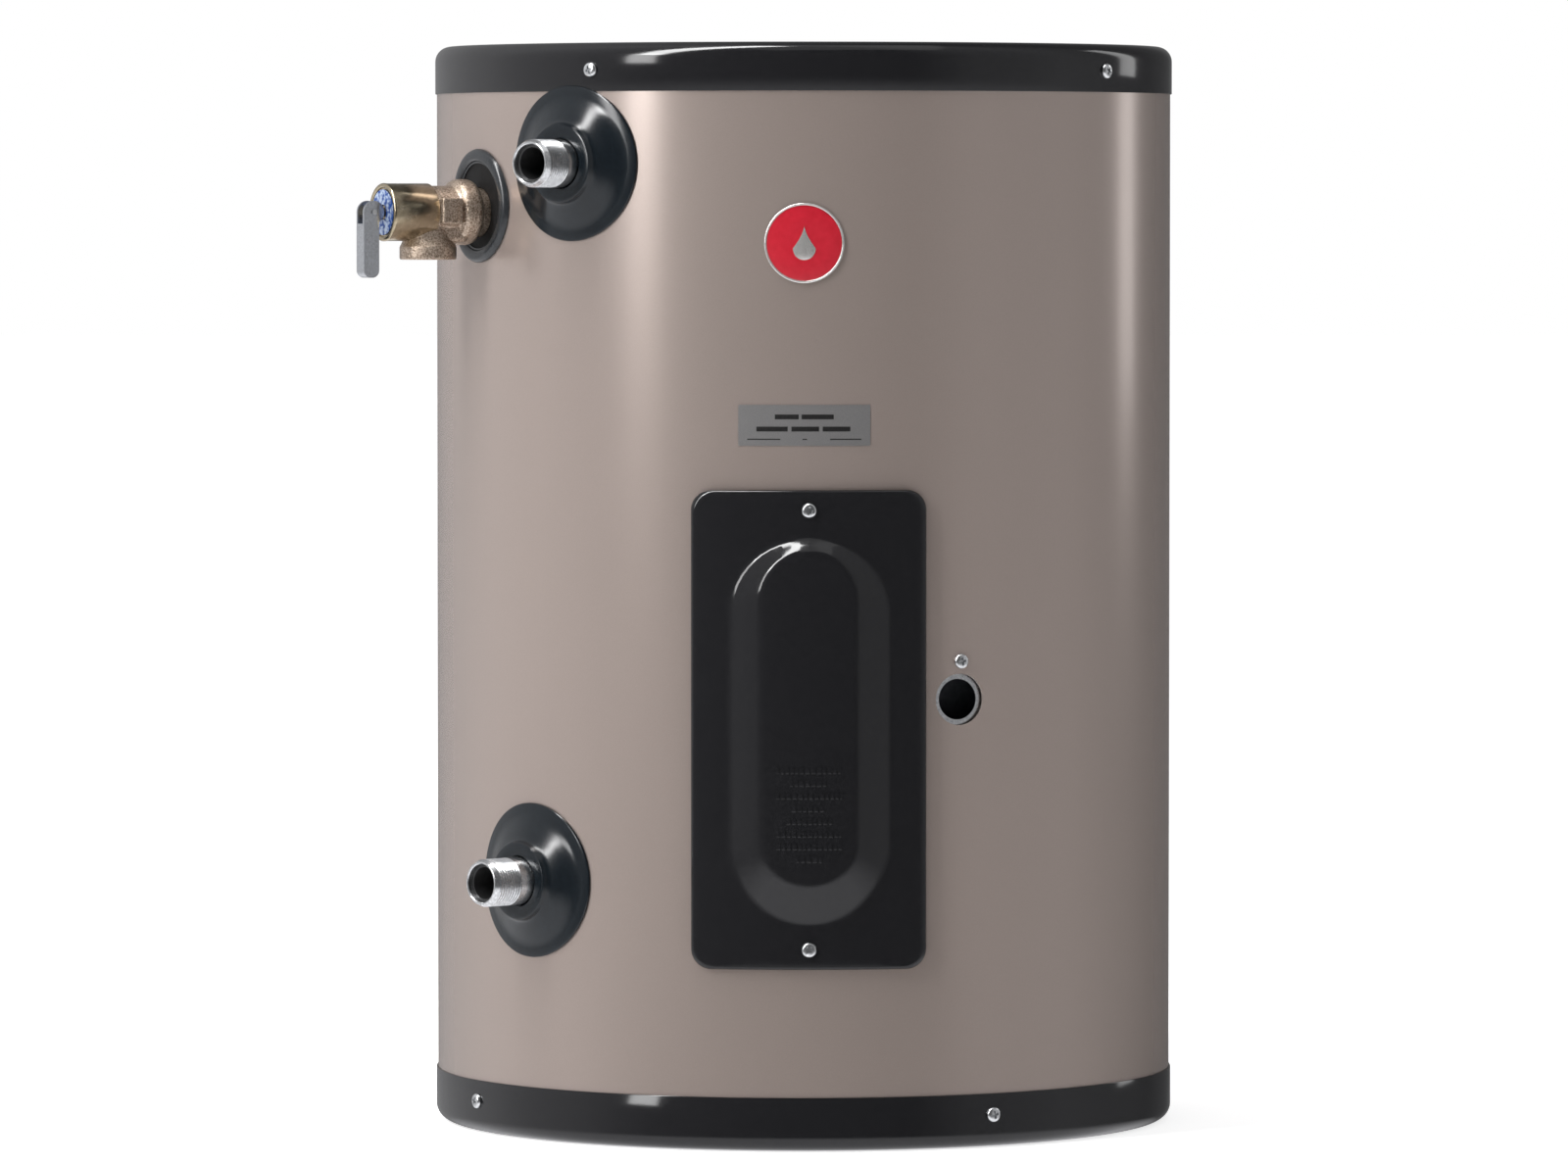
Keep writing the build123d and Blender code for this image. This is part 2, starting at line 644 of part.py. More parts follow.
def spud(angle, height, bore_r):
    """Welded ring that takes a pipe thread."""
    start = TANK_R - SPUD_INSIDE
    return outward(angle, height) * tube(bore_r + FIT, SPUD_R, start, start + SPUD_LENGTH)


def element_spud():
    """Welded ring for the heating element."""
    ring = tube(
        ELEMENT_THREAD_R + FIT,
        ELEMENT_SPUD_R,
        TANK_R - ELEMENT_SPUD_INSIDE,
        TANK_R + ELEMENT_SPUD_PROUD,
    )
    return outward(0, ELEMENT_Z) * ring


SPUD_PLACES = [
    (HOT_ANGLE, HOT_Z, SPUD_R),
    (COLD_ANGLE, COLD_Z, SPUD_R),
    (VALVE_ANGLE, VALVE_Z, SPUD_R),
    (DRAIN_ANGLE, DRAIN_Z, SPUD_R),
    (0, ELEMENT_Z, ELEMENT_SPUD_R),
]


# --- Anode
def anode_place():
    """Upright line of the anode."""
    turn = radians(ANODE_ANGLE)
    return Pos(ANODE_OFFSET * sin(turn), -ANODE_OFFSET * cos(turn), 0)


def anode_spud():
    """Welded ring in the top head."""
    top = HEIGHT - ANODE_SPUD_TOP_DROP
    return anode_place() * tube(ANODE_THREAD_R + FIT, ANODE_SPUD_R, top - ANODE_SPUD_H, top)


def anode_plug():
    """Threaded hex plug that carries the rod."""
    top = HEIGHT - ANODE_SPUD_TOP_DROP
    plug = rod(ANODE_THREAD_R, top - ANODE_THREAD, top)
    return anode_place() * (plug + hexagon(ANODE_HEX_R, top, top + ANODE_HEX_H))


def anode_rod():
    """Magnesium rod under the plug."""
    top = HEIGHT - ANODE_SPUD_TOP_DROP - ANODE_THREAD
    return anode_place() * rod(ANODE_R, top - ANODE_LENGTH, top)


# --- Water connections
def nipple(angle, height, proud):
    """Pipe nipple through the boot into its spud, its two threads as plain lower steps."""
    end = JACKET_R + proud
    start = end - NIPPLE_LENGTH
    pipe = tube(PIPE_BORE_R, NIPPLE_THREAD_R, start, end)
    pipe += tube(PIPE_BORE_R, PIPE_R, start + NIPPLE_THREAD, end - NIPPLE_THREAD)
    return outward(angle, height) * pipe


def liner(angle, height, proud, length):
    """Plastic liner inside a nipple."""
    end = JACKET_R + proud - LINER_SET_BACK
    outer = PIPE_BORE_R - FIT
    return outward(angle, height) * tube(outer - LINER_WALL, outer, end - length, end)


def boot(angle, height):
    """Rubber boot: a thin flange on the jacket that rises to a hub round the nipple."""
    place = outward(angle, height)
    bore = PIPE_R + FIT
    face = JACKET_R
    hub = turned(
        (bore, face - 6),
        (BOOT_CONE_R, face - 6),
        (BOOT_CONE_R, face + BOOT_LIP / 2),
        (BOOT_HUB_R, face + BOOT_SHOULDER),
        (BOOT_HUB_TOP_R, face + BOOT_HEIGHT),
        (bore, face + BOOT_HEIGHT),
    )
    flange = on_jacket(place * tube(bore, BOOT_R, TANK_R, JACKET_R + 10), FIT, BOOT_LIP)
    whole = flange + place * hub - rod(JACKET_R + FIT, 0, HEIGHT)
    return whole - rod(PAN_R + FIT, TOP_PAN_Z - FIT, HEIGHT)


# --- Relief valve
def valve_place():
    """Outward axis of the relief valve, with station 0 at the jacket's face."""
    return outward(VALVE_ANGLE, VALVE_Z) * Pos(0, 0, JACKET_R)


def relief_body():
    """Cast body: threaded shank, rounded hub, barrel and the outlet that points down."""
    hub = rod(HUB_R, HUB_NEAR, HUB_FAR)
    hub = fillet(hub.edges().filter_by(GeomType.CIRCLE), HUB_ROUND)
    body = rod(VALVE_SHANK_R, -VALVE_SHANK_INSIDE, HUB_NEAR + 1) + hub
    body += rod(BARREL_R, HUB_FAR - 1, BARREL_FAR)
    down = downward(OUTLET_AT)
    body += down * rod(OUTLET_NECK_R, 0, OUTLET_DROP - OUTLET_FLANGE_H / 2)
    body += down * rod(OUTLET_FLANGE_R, OUTLET_DROP - OUTLET_FLANGE_H, OUTLET_DROP)
    body -= rod(WATERWAY_R, -VALVE_SHANK_INSIDE - 1, VALVE_SEAT + 1)
    body -= rod(CHAMBER_R, VALVE_SEAT, BARREL_FAR + 1)
    body -= down * rod(OUTLET_BORE_R, 0, OUTLET_DROP)
    body -= down * rod(OUTLET_THREAD_R, OUTLET_DROP - OUTLET_THREAD_DEPTH, OUTLET_DROP + 1)
    return valve_place() * body


def relief_bonnet():
    """Brass cap crimped over the barrel, with a raised bezel round its end."""
    cap = rod(BONNET_R, BONNET_NEAR, BONNET_FAR + BEZEL_T)
    cap -= rod(BONNET_R - BEZEL_W, BONNET_FAR, BONNET_FAR + BEZEL_T + 1)
    cap -= rod(BARREL_R + FIT, BONNET_NEAR - 1, BONNET_FAR - BONNET_END_T)
    cap -= rod(STEM_R + SHAFT_FIT, 0, BONNET_FAR + 1)
    return valve_place() * (cap - downward(OUTLET_AT) * rod(OUTLET_NECK_R + FIT, 0, OUTLET_DROP))


def relief_label_disc():
    """Foil disc inside the bezel."""
    return valve_place() * tube(FOIL_HOLE_R, FOIL_R, BONNET_FAR, BONNET_FAR + FOIL_T)


def relief_disc():
    """Disc that closes the seat."""
    near = VALVE_SEAT + FIT
    return valve_place() * tube(STEM_R + FIT / 2, DISC_R, near, near + DISC_T)


def relief_probe():
    """Temperature probe that reaches into the tank."""
    end = VALVE_SEAT - FIT
    return valve_place() * rod(PROBE_R, end - PROBE_LENGTH, end)


def relief_stem():
    """Stem through the disc, with an eye for the lever's pin."""
    stem = rod(STEM_R, VALVE_SEAT - FIT, LEVER_PIN_AT - EYE_R / 2)
    eye = Pos(0, 0, LEVER_PIN_AT) * Rot(0, 90, 0) * Cylinder(EYE_R, EYE_W)
    eye -= Pos(0, 0, LEVER_PIN_AT) * Rot(0, 90, 0) * Cylinder(PIN_R + FIT / 2, EYE_W + 2)
    return valve_place() * (stem + eye)


def relief_spring():
    """Coil spring between the disc and the bonnet's end, drawn with the disc's lift left free."""
    near = VALVE_SEAT + FIT + DISC_T + FIT + SPRING_WIRE_R
    far = BONNET_FAR - BONNET_END_T - STEM_LIFT - MOVING - SPRING_WIRE_R
    coil = Helix((far - near) / SPRING_TURNS, far - near, SPRING_R)
    wire = Plane(origin=coil @ 0, z_dir=coil % 0) * Circle(SPRING_WIRE_R)
    return valve_place() * Pos(0, 0, near) * sweep(wire, path=coil, is_frenet=True)


def relief_lever():
    """Channel-shaped test lever that hangs from the pin, with its web on the outside."""
    outer = LEVER_EYE_R
    inner = LEVER_EYE_R - LEVER_DEPTH
    arm = slab((-LEVER_W / 2, LEVER_W / 2), (-LEVER_LENGTH, 0), (inner, outer))
    low_edges = arm.edges().filter_by(Axis.X).group_by(Axis.Y)[0]
    arm = fillet(low_edges, LEVER_DEPTH / 2 - 0.5)
    arm += Rot(0, 90, 0) * Cylinder(LEVER_EYE_R, LEVER_W)
    inside = LEVER_W / 2 - LEVER_WALL
    arm -= slab((-inside, inside), (LEVER_WALL - LEVER_LENGTH, LEVER_EYE_R + 1), (inner - 5, outer - LEVER_WALL))
    arm -= slab((-inside, inside), (-LEVER_EYE_R, LEVER_EYE_R + 1), (inner - 5, outer + 1))
    arm -= Rot(0, 90, 0) * Cylinder(PIN_R + SHAFT_FIT, LEVER_W + 2)
    return valve_place() * Pos(0, 0, LEVER_PIN_AT) * arm


def relief_lever_pin():
    """Pin through the lever and the stem's eye."""
    return valve_place() * Pos(0, 0, LEVER_PIN_AT) * Rot(0, 90, 0) * Cylinder(PIN_R, PIN_LENGTH)


def relief_escutcheon():
    """Ring on the jacket round the valve's hole."""
    place = outward(VALVE_ANGLE, VALVE_Z + ESCUTCHEON_ABOVE)
    ring = place * tube(ESCUTCHEON_HOLE_R, ESCUTCHEON_R, TANK_R, PANEL_FACE_R)
    return on_jacket(ring, FIT, ESCUTCHEON_T)


# --- Heating element
def front(station=0.0, height=0.0):
    """Outward place at the front."""
    return outward(0, height) * Pos(0, 0, station)


def element_head():
    """Hex head and thread of the screw-in element."""
    piece = rod(ELEMENT_THREAD_R, TANK_R - ELEMENT_THREAD_INSIDE, ELEMENT_HEX_AT)
    piece += hexagon(ELEMENT_HEX_R, ELEMENT_HEX_AT, BLOCK_AT)
    return front(0, ELEMENT_Z) * piece


def element_gasket():
    """Gasket between the spud and the hex."""
    near = TANK_R + ELEMENT_SPUD_PROUD
    return front(0, ELEMENT_Z) * tube(ELEMENT_THREAD_R + FIT, GASKET_R, near, near + GASKET_T)


def element_sheath():
    """Hairpin tube inside the tank."""
    start = TANK_R - ELEMENT_THREAD_INSIDE
    bend_r = SHEATH_SPACING / 2
    turn_at = TANK_R - SHEATH_REACH + bend_r + SHEATH_R
    legs = [Pos(x, 0, 0) * rod(SHEATH_R, turn_at, start) for x in (-bend_r, bend_r)]
    bend = Rot(90, 0, 0) * Torus(bend_r, SHEATH_R)
    bend &= slab((-TANK_R, TANK_R), (-SHEATH_R * 2, SHEATH_R * 2), (-TANK_R, 0))
    return front(0, ELEMENT_Z) * (joined(legs) + Pos(0, 0, turn_at) * bend)


def element_terminal_block():
    """Moulded block on the hex, with its two terminals."""
    block = prism(RectangleRounded(BLOCK_W, BLOCK_H, 3), BLOCK_AT, BLOCK_AT + TERMINAL_BLOCK_T)
    for x in (-WIRE_X, WIRE_X):
        block -= Pos(x, 0, 0) * rod(TERMINAL_SHANK_R + FIT, 0, JACKET_R)
    return front(0, ELEMENT_Z) * block


# --- Thermostat and limit
def control_terminals(low, high):
    """Places of the four terminals of a control between two heights."""
    heights = (low + TERMINAL_MARGIN, high - TERMINAL_MARGIN)
    return [(x, z) for z in heights for x in (-TERMINAL_X, TERMINAL_X)]


def control_body(low, high, well_r, well_depth, well_z):
    """Moulded control with its terminal holes and the well for its dial or button."""
    body = slab((-CONTROL_W / 2, CONTROL_W / 2), (low, high), (CONTROL_BACK, CONTROL_FACE))
    body = fillet(body.edges().filter_by(Axis.Z), 2.5)
    for x, z in control_terminals(low, high):
        body -= Pos(x, z, 0) * rod(TERMINAL_SHANK_R + FIT, CONTROL_FACE - TERMINAL_SHANK - 1, JACKET_R)
    body -= Pos(0, well_z, 0) * rod(well_r, CONTROL_FACE - well_depth, JACKET_R)
    return front() * body


def thermostat_body():
    """Thermostat housing."""
    top = THERMOSTAT_Z + THERMOSTAT_H
    return control_body(THERMOSTAT_Z, top, DIAL_SHAFT_R + SHAFT_FIT, DIAL_SHAFT + 1, DIAL_Z)


def limit_control():
    """High limit housing."""
    depth = BUTTON_DEPTH + BUTTON_TRAVEL + MOVING
    return control_body(LIMIT_Z, LIMIT_Z + LIMIT_H, BUTTON_R + SHAFT_FIT, depth, BUTTON_Z)


def thermostat_dial():
    """Slotted temperature dial with its shaft."""
    near = CONTROL_FACE + MOVING
    dial = rod(DIAL_R, near, near + DIAL_T)
    slot = slab((-0.8, 0.8), (-DIAL_R + 2, DIAL_R - 2), (near + DIAL_T - 1.2, near + DIAL_T + 1))
    pointer = slab((-0.6, 0.6), (DIAL_R - 0.5, DIAL_R + 0.8), (near, near + 1.5))
    dial = dial - slot + pointer + rod(DIAL_SHAFT_R, CONTROL_FACE - DIAL_SHAFT, near)
    return front(0, DIAL_Z) * dial


def reset_button():
    """Push button of the high limit."""
    return front(0, BUTTON_Z) * rod(BUTTON_R, CONTROL_FACE - BUTTON_DEPTH, CONTROL_FACE + BUTTON_PROUD)


def terminal_screw():
    """Slotted binding screw, its underside at station 0."""
    head = rod(TERMINAL_HEAD_R, 0, TERMINAL_HEAD_H)
    head -= Pos(0, 0, TERMINAL_HEAD_H) * Box(0.8, TERMINAL_HEAD_R * 3, 1.4)
    return head + rod(TERMINAL_SHANK_R, -TERMINAL_SHANK, 0)


def terminal_screws():
    """Binding screws of the thermostat, the limit and the element."""
    controls = control_terminals(THERMOSTAT_Z, THERMOSTAT_Z + THERMOSTAT_H)
    controls += control_terminals(LIMIT_Z, LIMIT_Z + LIMIT_H)
    screws = [front(CONTROL_FACE, z) * Pos(x, 0, 0) * terminal_screw() for x, z in controls]
    block_face = BLOCK_AT + TERMINAL_BLOCK_T
    screws += [front(block_face, ELEMENT_Z) * Pos(x, 0, 0) * terminal_screw() for x in (-WIRE_X, WIRE_X)]
    return joined(screws)


def terminal_shield():
    """Shallow plastic cover over the control terminals, open at the dial and the button."""
    half = SHIELD_W / 2
    low = THERMOSTAT_Z + 1
    high = LIMIT_Z + LIMIT_H - 1
    top = CONTROL_FACE + SHIELD_RISE
    tray = slab((-half, half), (low, high), (CONTROL_FACE, top))
    inner = half - SHIELD_T
    tray -= slab((-inner, inner), (low + SHIELD_T, high - SHIELD_T), (CONTROL_FACE - 1, top - SHIELD_T))
    tray -= Pos(0, DIAL_Z, 0) * rod(DIAL_R + 2, CONTROL_FACE, top + 1)
    tray -= Pos(0, BUTTON_Z, 0) * rod(BUTTON_R + 1.5, CONTROL_FACE, top + 1)
    return front() * tray


def thermostat_bracket():
    """Spring bracket that holds both controls against the tank."""
    inner = CONTROL_W / 2 + MOVING
    outer = inner + BRACKET_T
    low = THERMOSTAT_Z - BRACKET_PAD_H
    high = LIMIT_Z + LIMIT_H + BRACKET_PAD_H
    arm_top = CONTROL_BACK + CONTROL_DEPTH * 0.7
    arms = slab((-outer, outer), (low, high), (0, arm_top)) - slab((-inner, inner), (low, high), (0, JACKET_R))
    pads = slab((-outer, outer), (low, high), (0, TANK_R + 5))
    pads -= slab((-outer, outer), (THERMOSTAT_Z - 2, LIMIT_Z + LIMIT_H + 2), (0, JACKET_R))
    pads = front() * pads & tube(TANK_R + FIT, TANK_R + FIT + BRACKET_T, 0, HEIGHT)
    return pads + (front() * arms - rod(TANK_R + FIT, 0, HEIGHT))


def jumper_wires():
    """Two wires from the thermostat down to the element's terminals."""
    start = CONTROL_BACK + CONTROL_DEPTH / 2
    end = BLOCK_AT + TERMINAL_BLOCK_T / 2
    top = THERMOSTAT_Z - 0.1
    bottom = ELEMENT_Z + BLOCK_H / 2 + 0.1
    span = top - bottom
    wires = []
    for side in (-1, 1):
        path = FilletPolyline(
            (side * TERMINAL_X, top, start),
            (side * TERMINAL_X, top - span / 3, start),
            (side * WIRE_X, bottom + span / 3, end),
            (side * WIRE_X, bottom, end),
            radius=8,
        )
        section = Plane(origin=path @ 0, z_dir=path % 0) * Circle(WIRE_R)
        wires.append(front() * sweep(section, path=path))
    return joined(wires)


# --- Drain valve
def drain_place():
    """Outward axis of the drain valve, with station 0 at the jacket's face."""
    return outward(DRAIN_ANGLE, DRAIN_Z) * Pos(0, 0, JACKET_R)


def drain_body():
    """Shank, hex, barrel, bonnet nut and the hose outlet that points down."""
    nut_far = DRAIN_BARREL_FAR + DRAIN_NUT_T
    body = rod(DRAIN_SHANK_R, -VALVE_SHANK_INSIDE, DRAIN_HEX_NEAR + 1)
    body += hexagon(DRAIN_HEX_R, DRAIN_HEX_NEAR, DRAIN_HEX_NEAR + DRAIN_HEX_T)
    body += rod(DRAIN_BARREL_R, DRAIN_HEX_NEAR + DRAIN_HEX_T - 1, DRAIN_BARREL_FAR)
    body += hexagon(DRAIN_NUT_R, DRAIN_BARREL_FAR - 1, nut_far)
    down = downward(HOSE_AT)
    body += down * rod(HOSE_NECK_R, 0, HOSE_DROP)
    body += down * rod(HOSE_R, HOSE_DROP - HOSE_THREAD_LENGTH, HOSE_DROP)
    body -= rod(DRAIN_WATERWAY_R, -VALVE_SHANK_INSIDE - 1, DRAIN_SEAT + 1)
    body -= rod(DRAIN_CHAMBER_R, DRAIN_SEAT, DRAIN_CHAMBER_FAR)
    body -= rod(DRAIN_STEM_R + SHAFT_FIT, 0, nut_far + 1)
    body -= down * rod(HOSE_BORE_R, 0, HOSE_DROP + 1)
    return drain_place() * body


def drain_stem():
    """Stem that turns in the bonnet nut."""
    end = DRAIN_BARREL_FAR + DRAIN_NUT_T + HANDLE_STANDOFF + HANDLE_T
    return drain_place() * rod(DRAIN_STEM_R, DRAIN_STEM_NEAR, end)


def drain_washer():
    """Washer carrier on the stem's inner end."""
    near = DRAIN_SEAT + MOVING
    carrier = rod(CARRIER_R, near, near + CARRIER_T)
    carrier += rod(CARRIER_SLEEVE_R, near, near + CARRIER_SLEEVE)
    carrier -= rod(DRAIN_STEM_R + SHAFT_FIT, near + 1.5, near + CARRIER_SLEEVE + 1)
    return drain_place() * carrier


def drain_handle():
    """Scalloped hand wheel."""
    near = DRAIN_BARREL_FAR + DRAIN_NUT_T + HANDLE_STANDOFF
    wheel = rod(HANDLE_R, near, near + HANDLE_T)
    wheel = fillet(wheel.edges().filter_by(GeomType.CIRCLE), 1.5)
    for lobe in range(HANDLE_LOBES):
        turn = Rot(0, 0, lobe * 360 / HANDLE_LOBES)
        offset = Pos(HANDLE_R + HANDLE_SCALLOP_R * 0.55, 0, 0)
        wheel -= turn * offset * rod(HANDLE_SCALLOP_R, near - 1, near + HANDLE_T + 1)
    return drain_place() * (wheel - rod(DRAIN_STEM_R + FIT / 2, 0, near + HANDLE_T + 1))


PARTS = {
    "jacket": jacket(),
    "top_pan": top_pan(),
    "bottom_pan": bottom_pan(),
    "top_pan_screws": pan_screws(TOP_SCREW_ANGLES, HEIGHT - TOP_SCREW_BELOW),
    "bottom_pan_screws": pan_screws(BOTTOM_SCREW_ANGLES, BOTTOM_SCREW_Z),
    "access_cover": access_cover(),
    "access_cover_screws": access_cover_screws(),
    "access_insulation": access_insulation(),
    "badge_plate": badge_plate(),
    "badge_enamel": badge_enamel(),
    "name_label": name_label(),
    "wiring_box": wiring_box(),
    "conduit_plate": conduit_plate(),
    "ground_screw": screw_at(CONDUIT_ANGLE, CONDUIT_Z + GROUND_ABOVE, JACKET_R),
    "side_insulation": side_insulation(),
    "top_insulation": top_insulation(),
    "base_pad": base_pad(),
    "tank_shell": tank_shell(),
    "tank_top_head": tank_top_head(),
    "tank_bottom_head": tank_bottom_head(),
    "hot_outlet_spud": spud(HOT_ANGLE, HOT_Z, PIPE_R),
    "cold_inlet_spud": spud(COLD_ANGLE, COLD_Z, PIPE_R),
    "relief_spud": spud(VALVE_ANGLE, VALVE_Z, VALVE_SHANK_R),
    "drain_spud": spud(DRAIN_ANGLE, DRAIN_Z, DRAIN_SHANK_R),
    "element_spud": element_spud(),
    "anode_spud": anode_spud(),
    "anode_plug": anode_plug(),
    "anode_rod": anode_rod(),
    "hot_outlet_nipple": nipple(HOT_ANGLE, HOT_Z, HOT_PROUD),
    "hot_outlet_liner": liner(HOT_ANGLE, HOT_Z, HOT_PROUD, HOT_LINER_LENGTH),
    "hot_outlet_boot": boot(HOT_ANGLE, HOT_Z),
    "cold_inlet_nipple": nipple(COLD_ANGLE, COLD_Z, COLD_PROUD),
    "cold_inlet_liner": liner(COLD_ANGLE, COLD_Z, COLD_PROUD, COLD_LINER_LENGTH),
    "cold_inlet_boot": boot(COLD_ANGLE, COLD_Z),
    "relief_body": relief_body(),
    "relief_bonnet": relief_bonnet(),
    "relief_label_disc": relief_label_disc(),
    "relief_disc": relief_disc(),
    "relief_probe": relief_probe(),
    "relief_stem": relief_stem(),
    "relief_spring": relief_spring(),
    "relief_lever": relief_lever(),
    "relief_lever_pin": relief_lever_pin(),
    "relief_escutcheon": relief_escutcheon(),
    "element_head": element_head(),
    "element_gasket": element_gasket(),
    "element_sheath": element_sheath(),
    "element_terminal_block": element_terminal_block(),
    "thermostat_body": thermostat_body(),
    "thermostat_dial": thermostat_dial(),
    "limit_control": limit_control(),
    "reset_button": reset_button(),
    "terminal_screws": terminal_screws(),
    "terminal_shield": terminal_shield(),
    "thermostat_bracket": thermostat_bracket(),
    "jumper_wires": jumper_wires(),
    "drain_body": drain_body(),
    "drain_stem": drain_stem(),
    "drain_washer": drain_washer(),
    "drain_handle": drain_handle(),
}

for name, piece in PARTS.items():
    export_step(piece, f"parts/{name}.step")
    print(name, len(piece.solids()), round(piece.volume))
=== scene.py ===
# %% [markdown]
# # A tank water heater
# The working parts come packed from the design as a fixed frame. This lesson dresses them: each
# visible piece is modelled again where a smoother or finer shape is needed, and every piece gets a
# finish made of shader nodes. Places and sizes are read from the frame, never typed in twice.

# %% Load the frame
import bpy
import json
import random
from math import cos, pi, radians, sin, sqrt, tau
from mathutils import Matrix, Vector


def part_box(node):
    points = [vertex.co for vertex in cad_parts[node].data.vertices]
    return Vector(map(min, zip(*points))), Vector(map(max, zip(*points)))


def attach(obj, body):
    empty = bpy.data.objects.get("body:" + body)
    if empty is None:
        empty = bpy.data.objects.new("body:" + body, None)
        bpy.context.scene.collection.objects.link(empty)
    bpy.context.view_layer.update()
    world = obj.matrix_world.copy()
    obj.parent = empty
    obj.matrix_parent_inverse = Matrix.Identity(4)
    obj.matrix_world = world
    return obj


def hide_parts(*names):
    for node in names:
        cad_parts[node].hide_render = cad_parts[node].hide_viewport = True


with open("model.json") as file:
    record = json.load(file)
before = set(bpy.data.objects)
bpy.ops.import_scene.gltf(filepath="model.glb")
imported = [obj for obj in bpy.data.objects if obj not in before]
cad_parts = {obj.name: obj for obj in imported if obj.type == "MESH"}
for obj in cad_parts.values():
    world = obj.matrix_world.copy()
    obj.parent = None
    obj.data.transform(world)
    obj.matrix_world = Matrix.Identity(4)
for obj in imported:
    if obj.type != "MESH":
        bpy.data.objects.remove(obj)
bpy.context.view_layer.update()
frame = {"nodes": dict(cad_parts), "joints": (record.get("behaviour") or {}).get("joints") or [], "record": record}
nodes = frame["nodes"]
mounts = {mount["name"]: mount for mount in frame["record"]["mounts"]}
joints = {joint["name"]: joint for joint in frame["joints"]}

# %% [markdown]
# ## Sizes
# Blender works in metres here, so a millimetre gets a name. The jacket's radius and the places of
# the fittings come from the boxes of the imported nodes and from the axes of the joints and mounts.

# %% Sizes read from the frame
MM = 0.001
jacket_low, jacket_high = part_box("jacket")
pan_low, pan_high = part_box("top_pan")
jacket_r = jacket_high.x
pan_r = pan_high.x
height = pan_high.z
print("jacket radius", round(jacket_r / MM, 2), "height", round(height / MM, 1))


def middle(node):
    """Centre of a node's box."""
    low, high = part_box(node)
    return (low + high) / 2


def way_out(axis, z):
    """Local frame on the tank axis: X to the right, Y up and Z along this outward axis."""
    away = Vector((axis[0], axis[1], 0)).normalized()
    side = Vector((-away.y, away.x, 0))
    return Matrix(((side.x, 0, away.x, 0), (side.y, 0, away.y, 0), (0, 1, 0, z), (0, 0, 0, 1)))


hot_way = way_out(mounts["hot_outlet"]["axis"], middle("hot_outlet_nipple").z)
cold_way = way_out(mounts["cold_inlet"]["axis"], middle("cold_inlet_nipple").z)
valve_way = way_out(joints["relief_stem_lift"]["axis"], joints["relief_lever_lift"]["pos_m"][2])
cover_way = way_out(joints["cover_removal"]["axis"], middle("access_cover").z)
drain_way = way_out(joints["drain_carrier_lift"]["axis"], joints["drain_handle_turn"]["pos_m"][2])


def reach(node, way):
    """Nearest and farthest station of a node along a way out, from the tank axis."""
    inward = way.inverted()
    stations = [(inward @ vertex.co).z for vertex in nodes[node].data.vertices]
    return min(stations), max(stations)


# %% [markdown]
# ## Modelling helpers
# Every piece is built the way it would be by hand: a primitive or a drawn profile, then edit-mode
# operators. Operators act on everything that is selected, and loading the frame leaves its nodes
# selected, so each helper clears the selection first.


# %% Selecting and editing
def alone(piece):
    """Select one object and nothing else."""
    bpy.ops.object.select_all(action="DESELECT")
    piece.select_set(True)
    bpy.context.view_layer.objects.active = piece


def editing(piece, mode="VERT"):
    """Open a piece in edit mode with everything selected."""
    alone(piece)
    bpy.ops.object.mode_set(mode="EDIT")
    bpy.ops.mesh.select_mode(type=mode)
    bpy.ops.mesh.select_all(action="SELECT")


def done():
    """Back to object mode."""
    bpy.ops.object.mode_set(mode="OBJECT")


def named(name):
    """Name the new active object and its mesh."""
    piece = bpy.context.active_object
    piece.name = name
    piece.data.name = name
    return piece


def pick(piece, kind, test):
    """In edit mode, select only the vertices or faces that pass a test."""
    bpy.ops.mesh.select_all(action="DESELECT")
    done()
    for part in getattr(piece.data, kind):
        part.select = test(part)
    bpy.ops.object.mode_set(mode="EDIT")


def tidy(piece):
    """Merge doubles and point every face outward."""
    editing(piece)
    bpy.ops.mesh.remove_doubles(threshold=1e-6)
    bpy.ops.mesh.normals_make_consistent(inside=False)
    done()


def smooth(piece, angle=32):
    """Smooth shading that keeps corners sharper than this angle."""
    alone(piece)
    bpy.ops.object.shade_smooth_by_angle(angle=radians(angle))


def modifier(piece, kind, **settings):
    """Add a modifier with its settings and apply it."""
    alone(piece)
    added = piece.modifiers.new(kind.lower(), kind)
    for key, value in settings.items():
        setattr(added, key, value)
    bpy.ops.object.modifier_apply(modifier=added.name)


def rounded(piece, width, segments=3, angle=40):
    """Round the corners sharper than this angle."""
    modifier(piece, "BEVEL", width=width, segments=segments, limit_method="ANGLE",
             angle_limit=radians(angle), use_clamp_overlap=True)


def settle(piece, way):
    """Carry a piece drawn in local axes to its place, and leave its object at the origin."""
    piece.matrix_world = way @ piece.matrix_world
    alone(piece)
    bpy.ops.object.transform_apply(location=True, rotation=True, scale=True)
    return piece


def join(pieces, name):
    """Several pieces as one object."""
    bpy.ops.object.select_all(action="DESELECT")
    for piece in pieces:
        piece.select_set(True)
    bpy.context.view_layer.objects.active = pieces[0]
    bpy.ops.object.join()
    return named(name)


def carve(piece, cutter, operation="DIFFERENCE"):
    """Boolean with another object, which is then deleted."""
    modifier(piece, "BOOLEAN", object=cutter, operation=operation, solver="EXACT")
    bpy.data.objects.remove(cutter)


# %% [markdown]
# A turned piece starts as one vertex that is extruded along the outline, corner by corner. Spinning
# that line round the axis gives the surface. Outlines that close on themselves repeat their first
# point, and the seam disappears when doubles are merged.


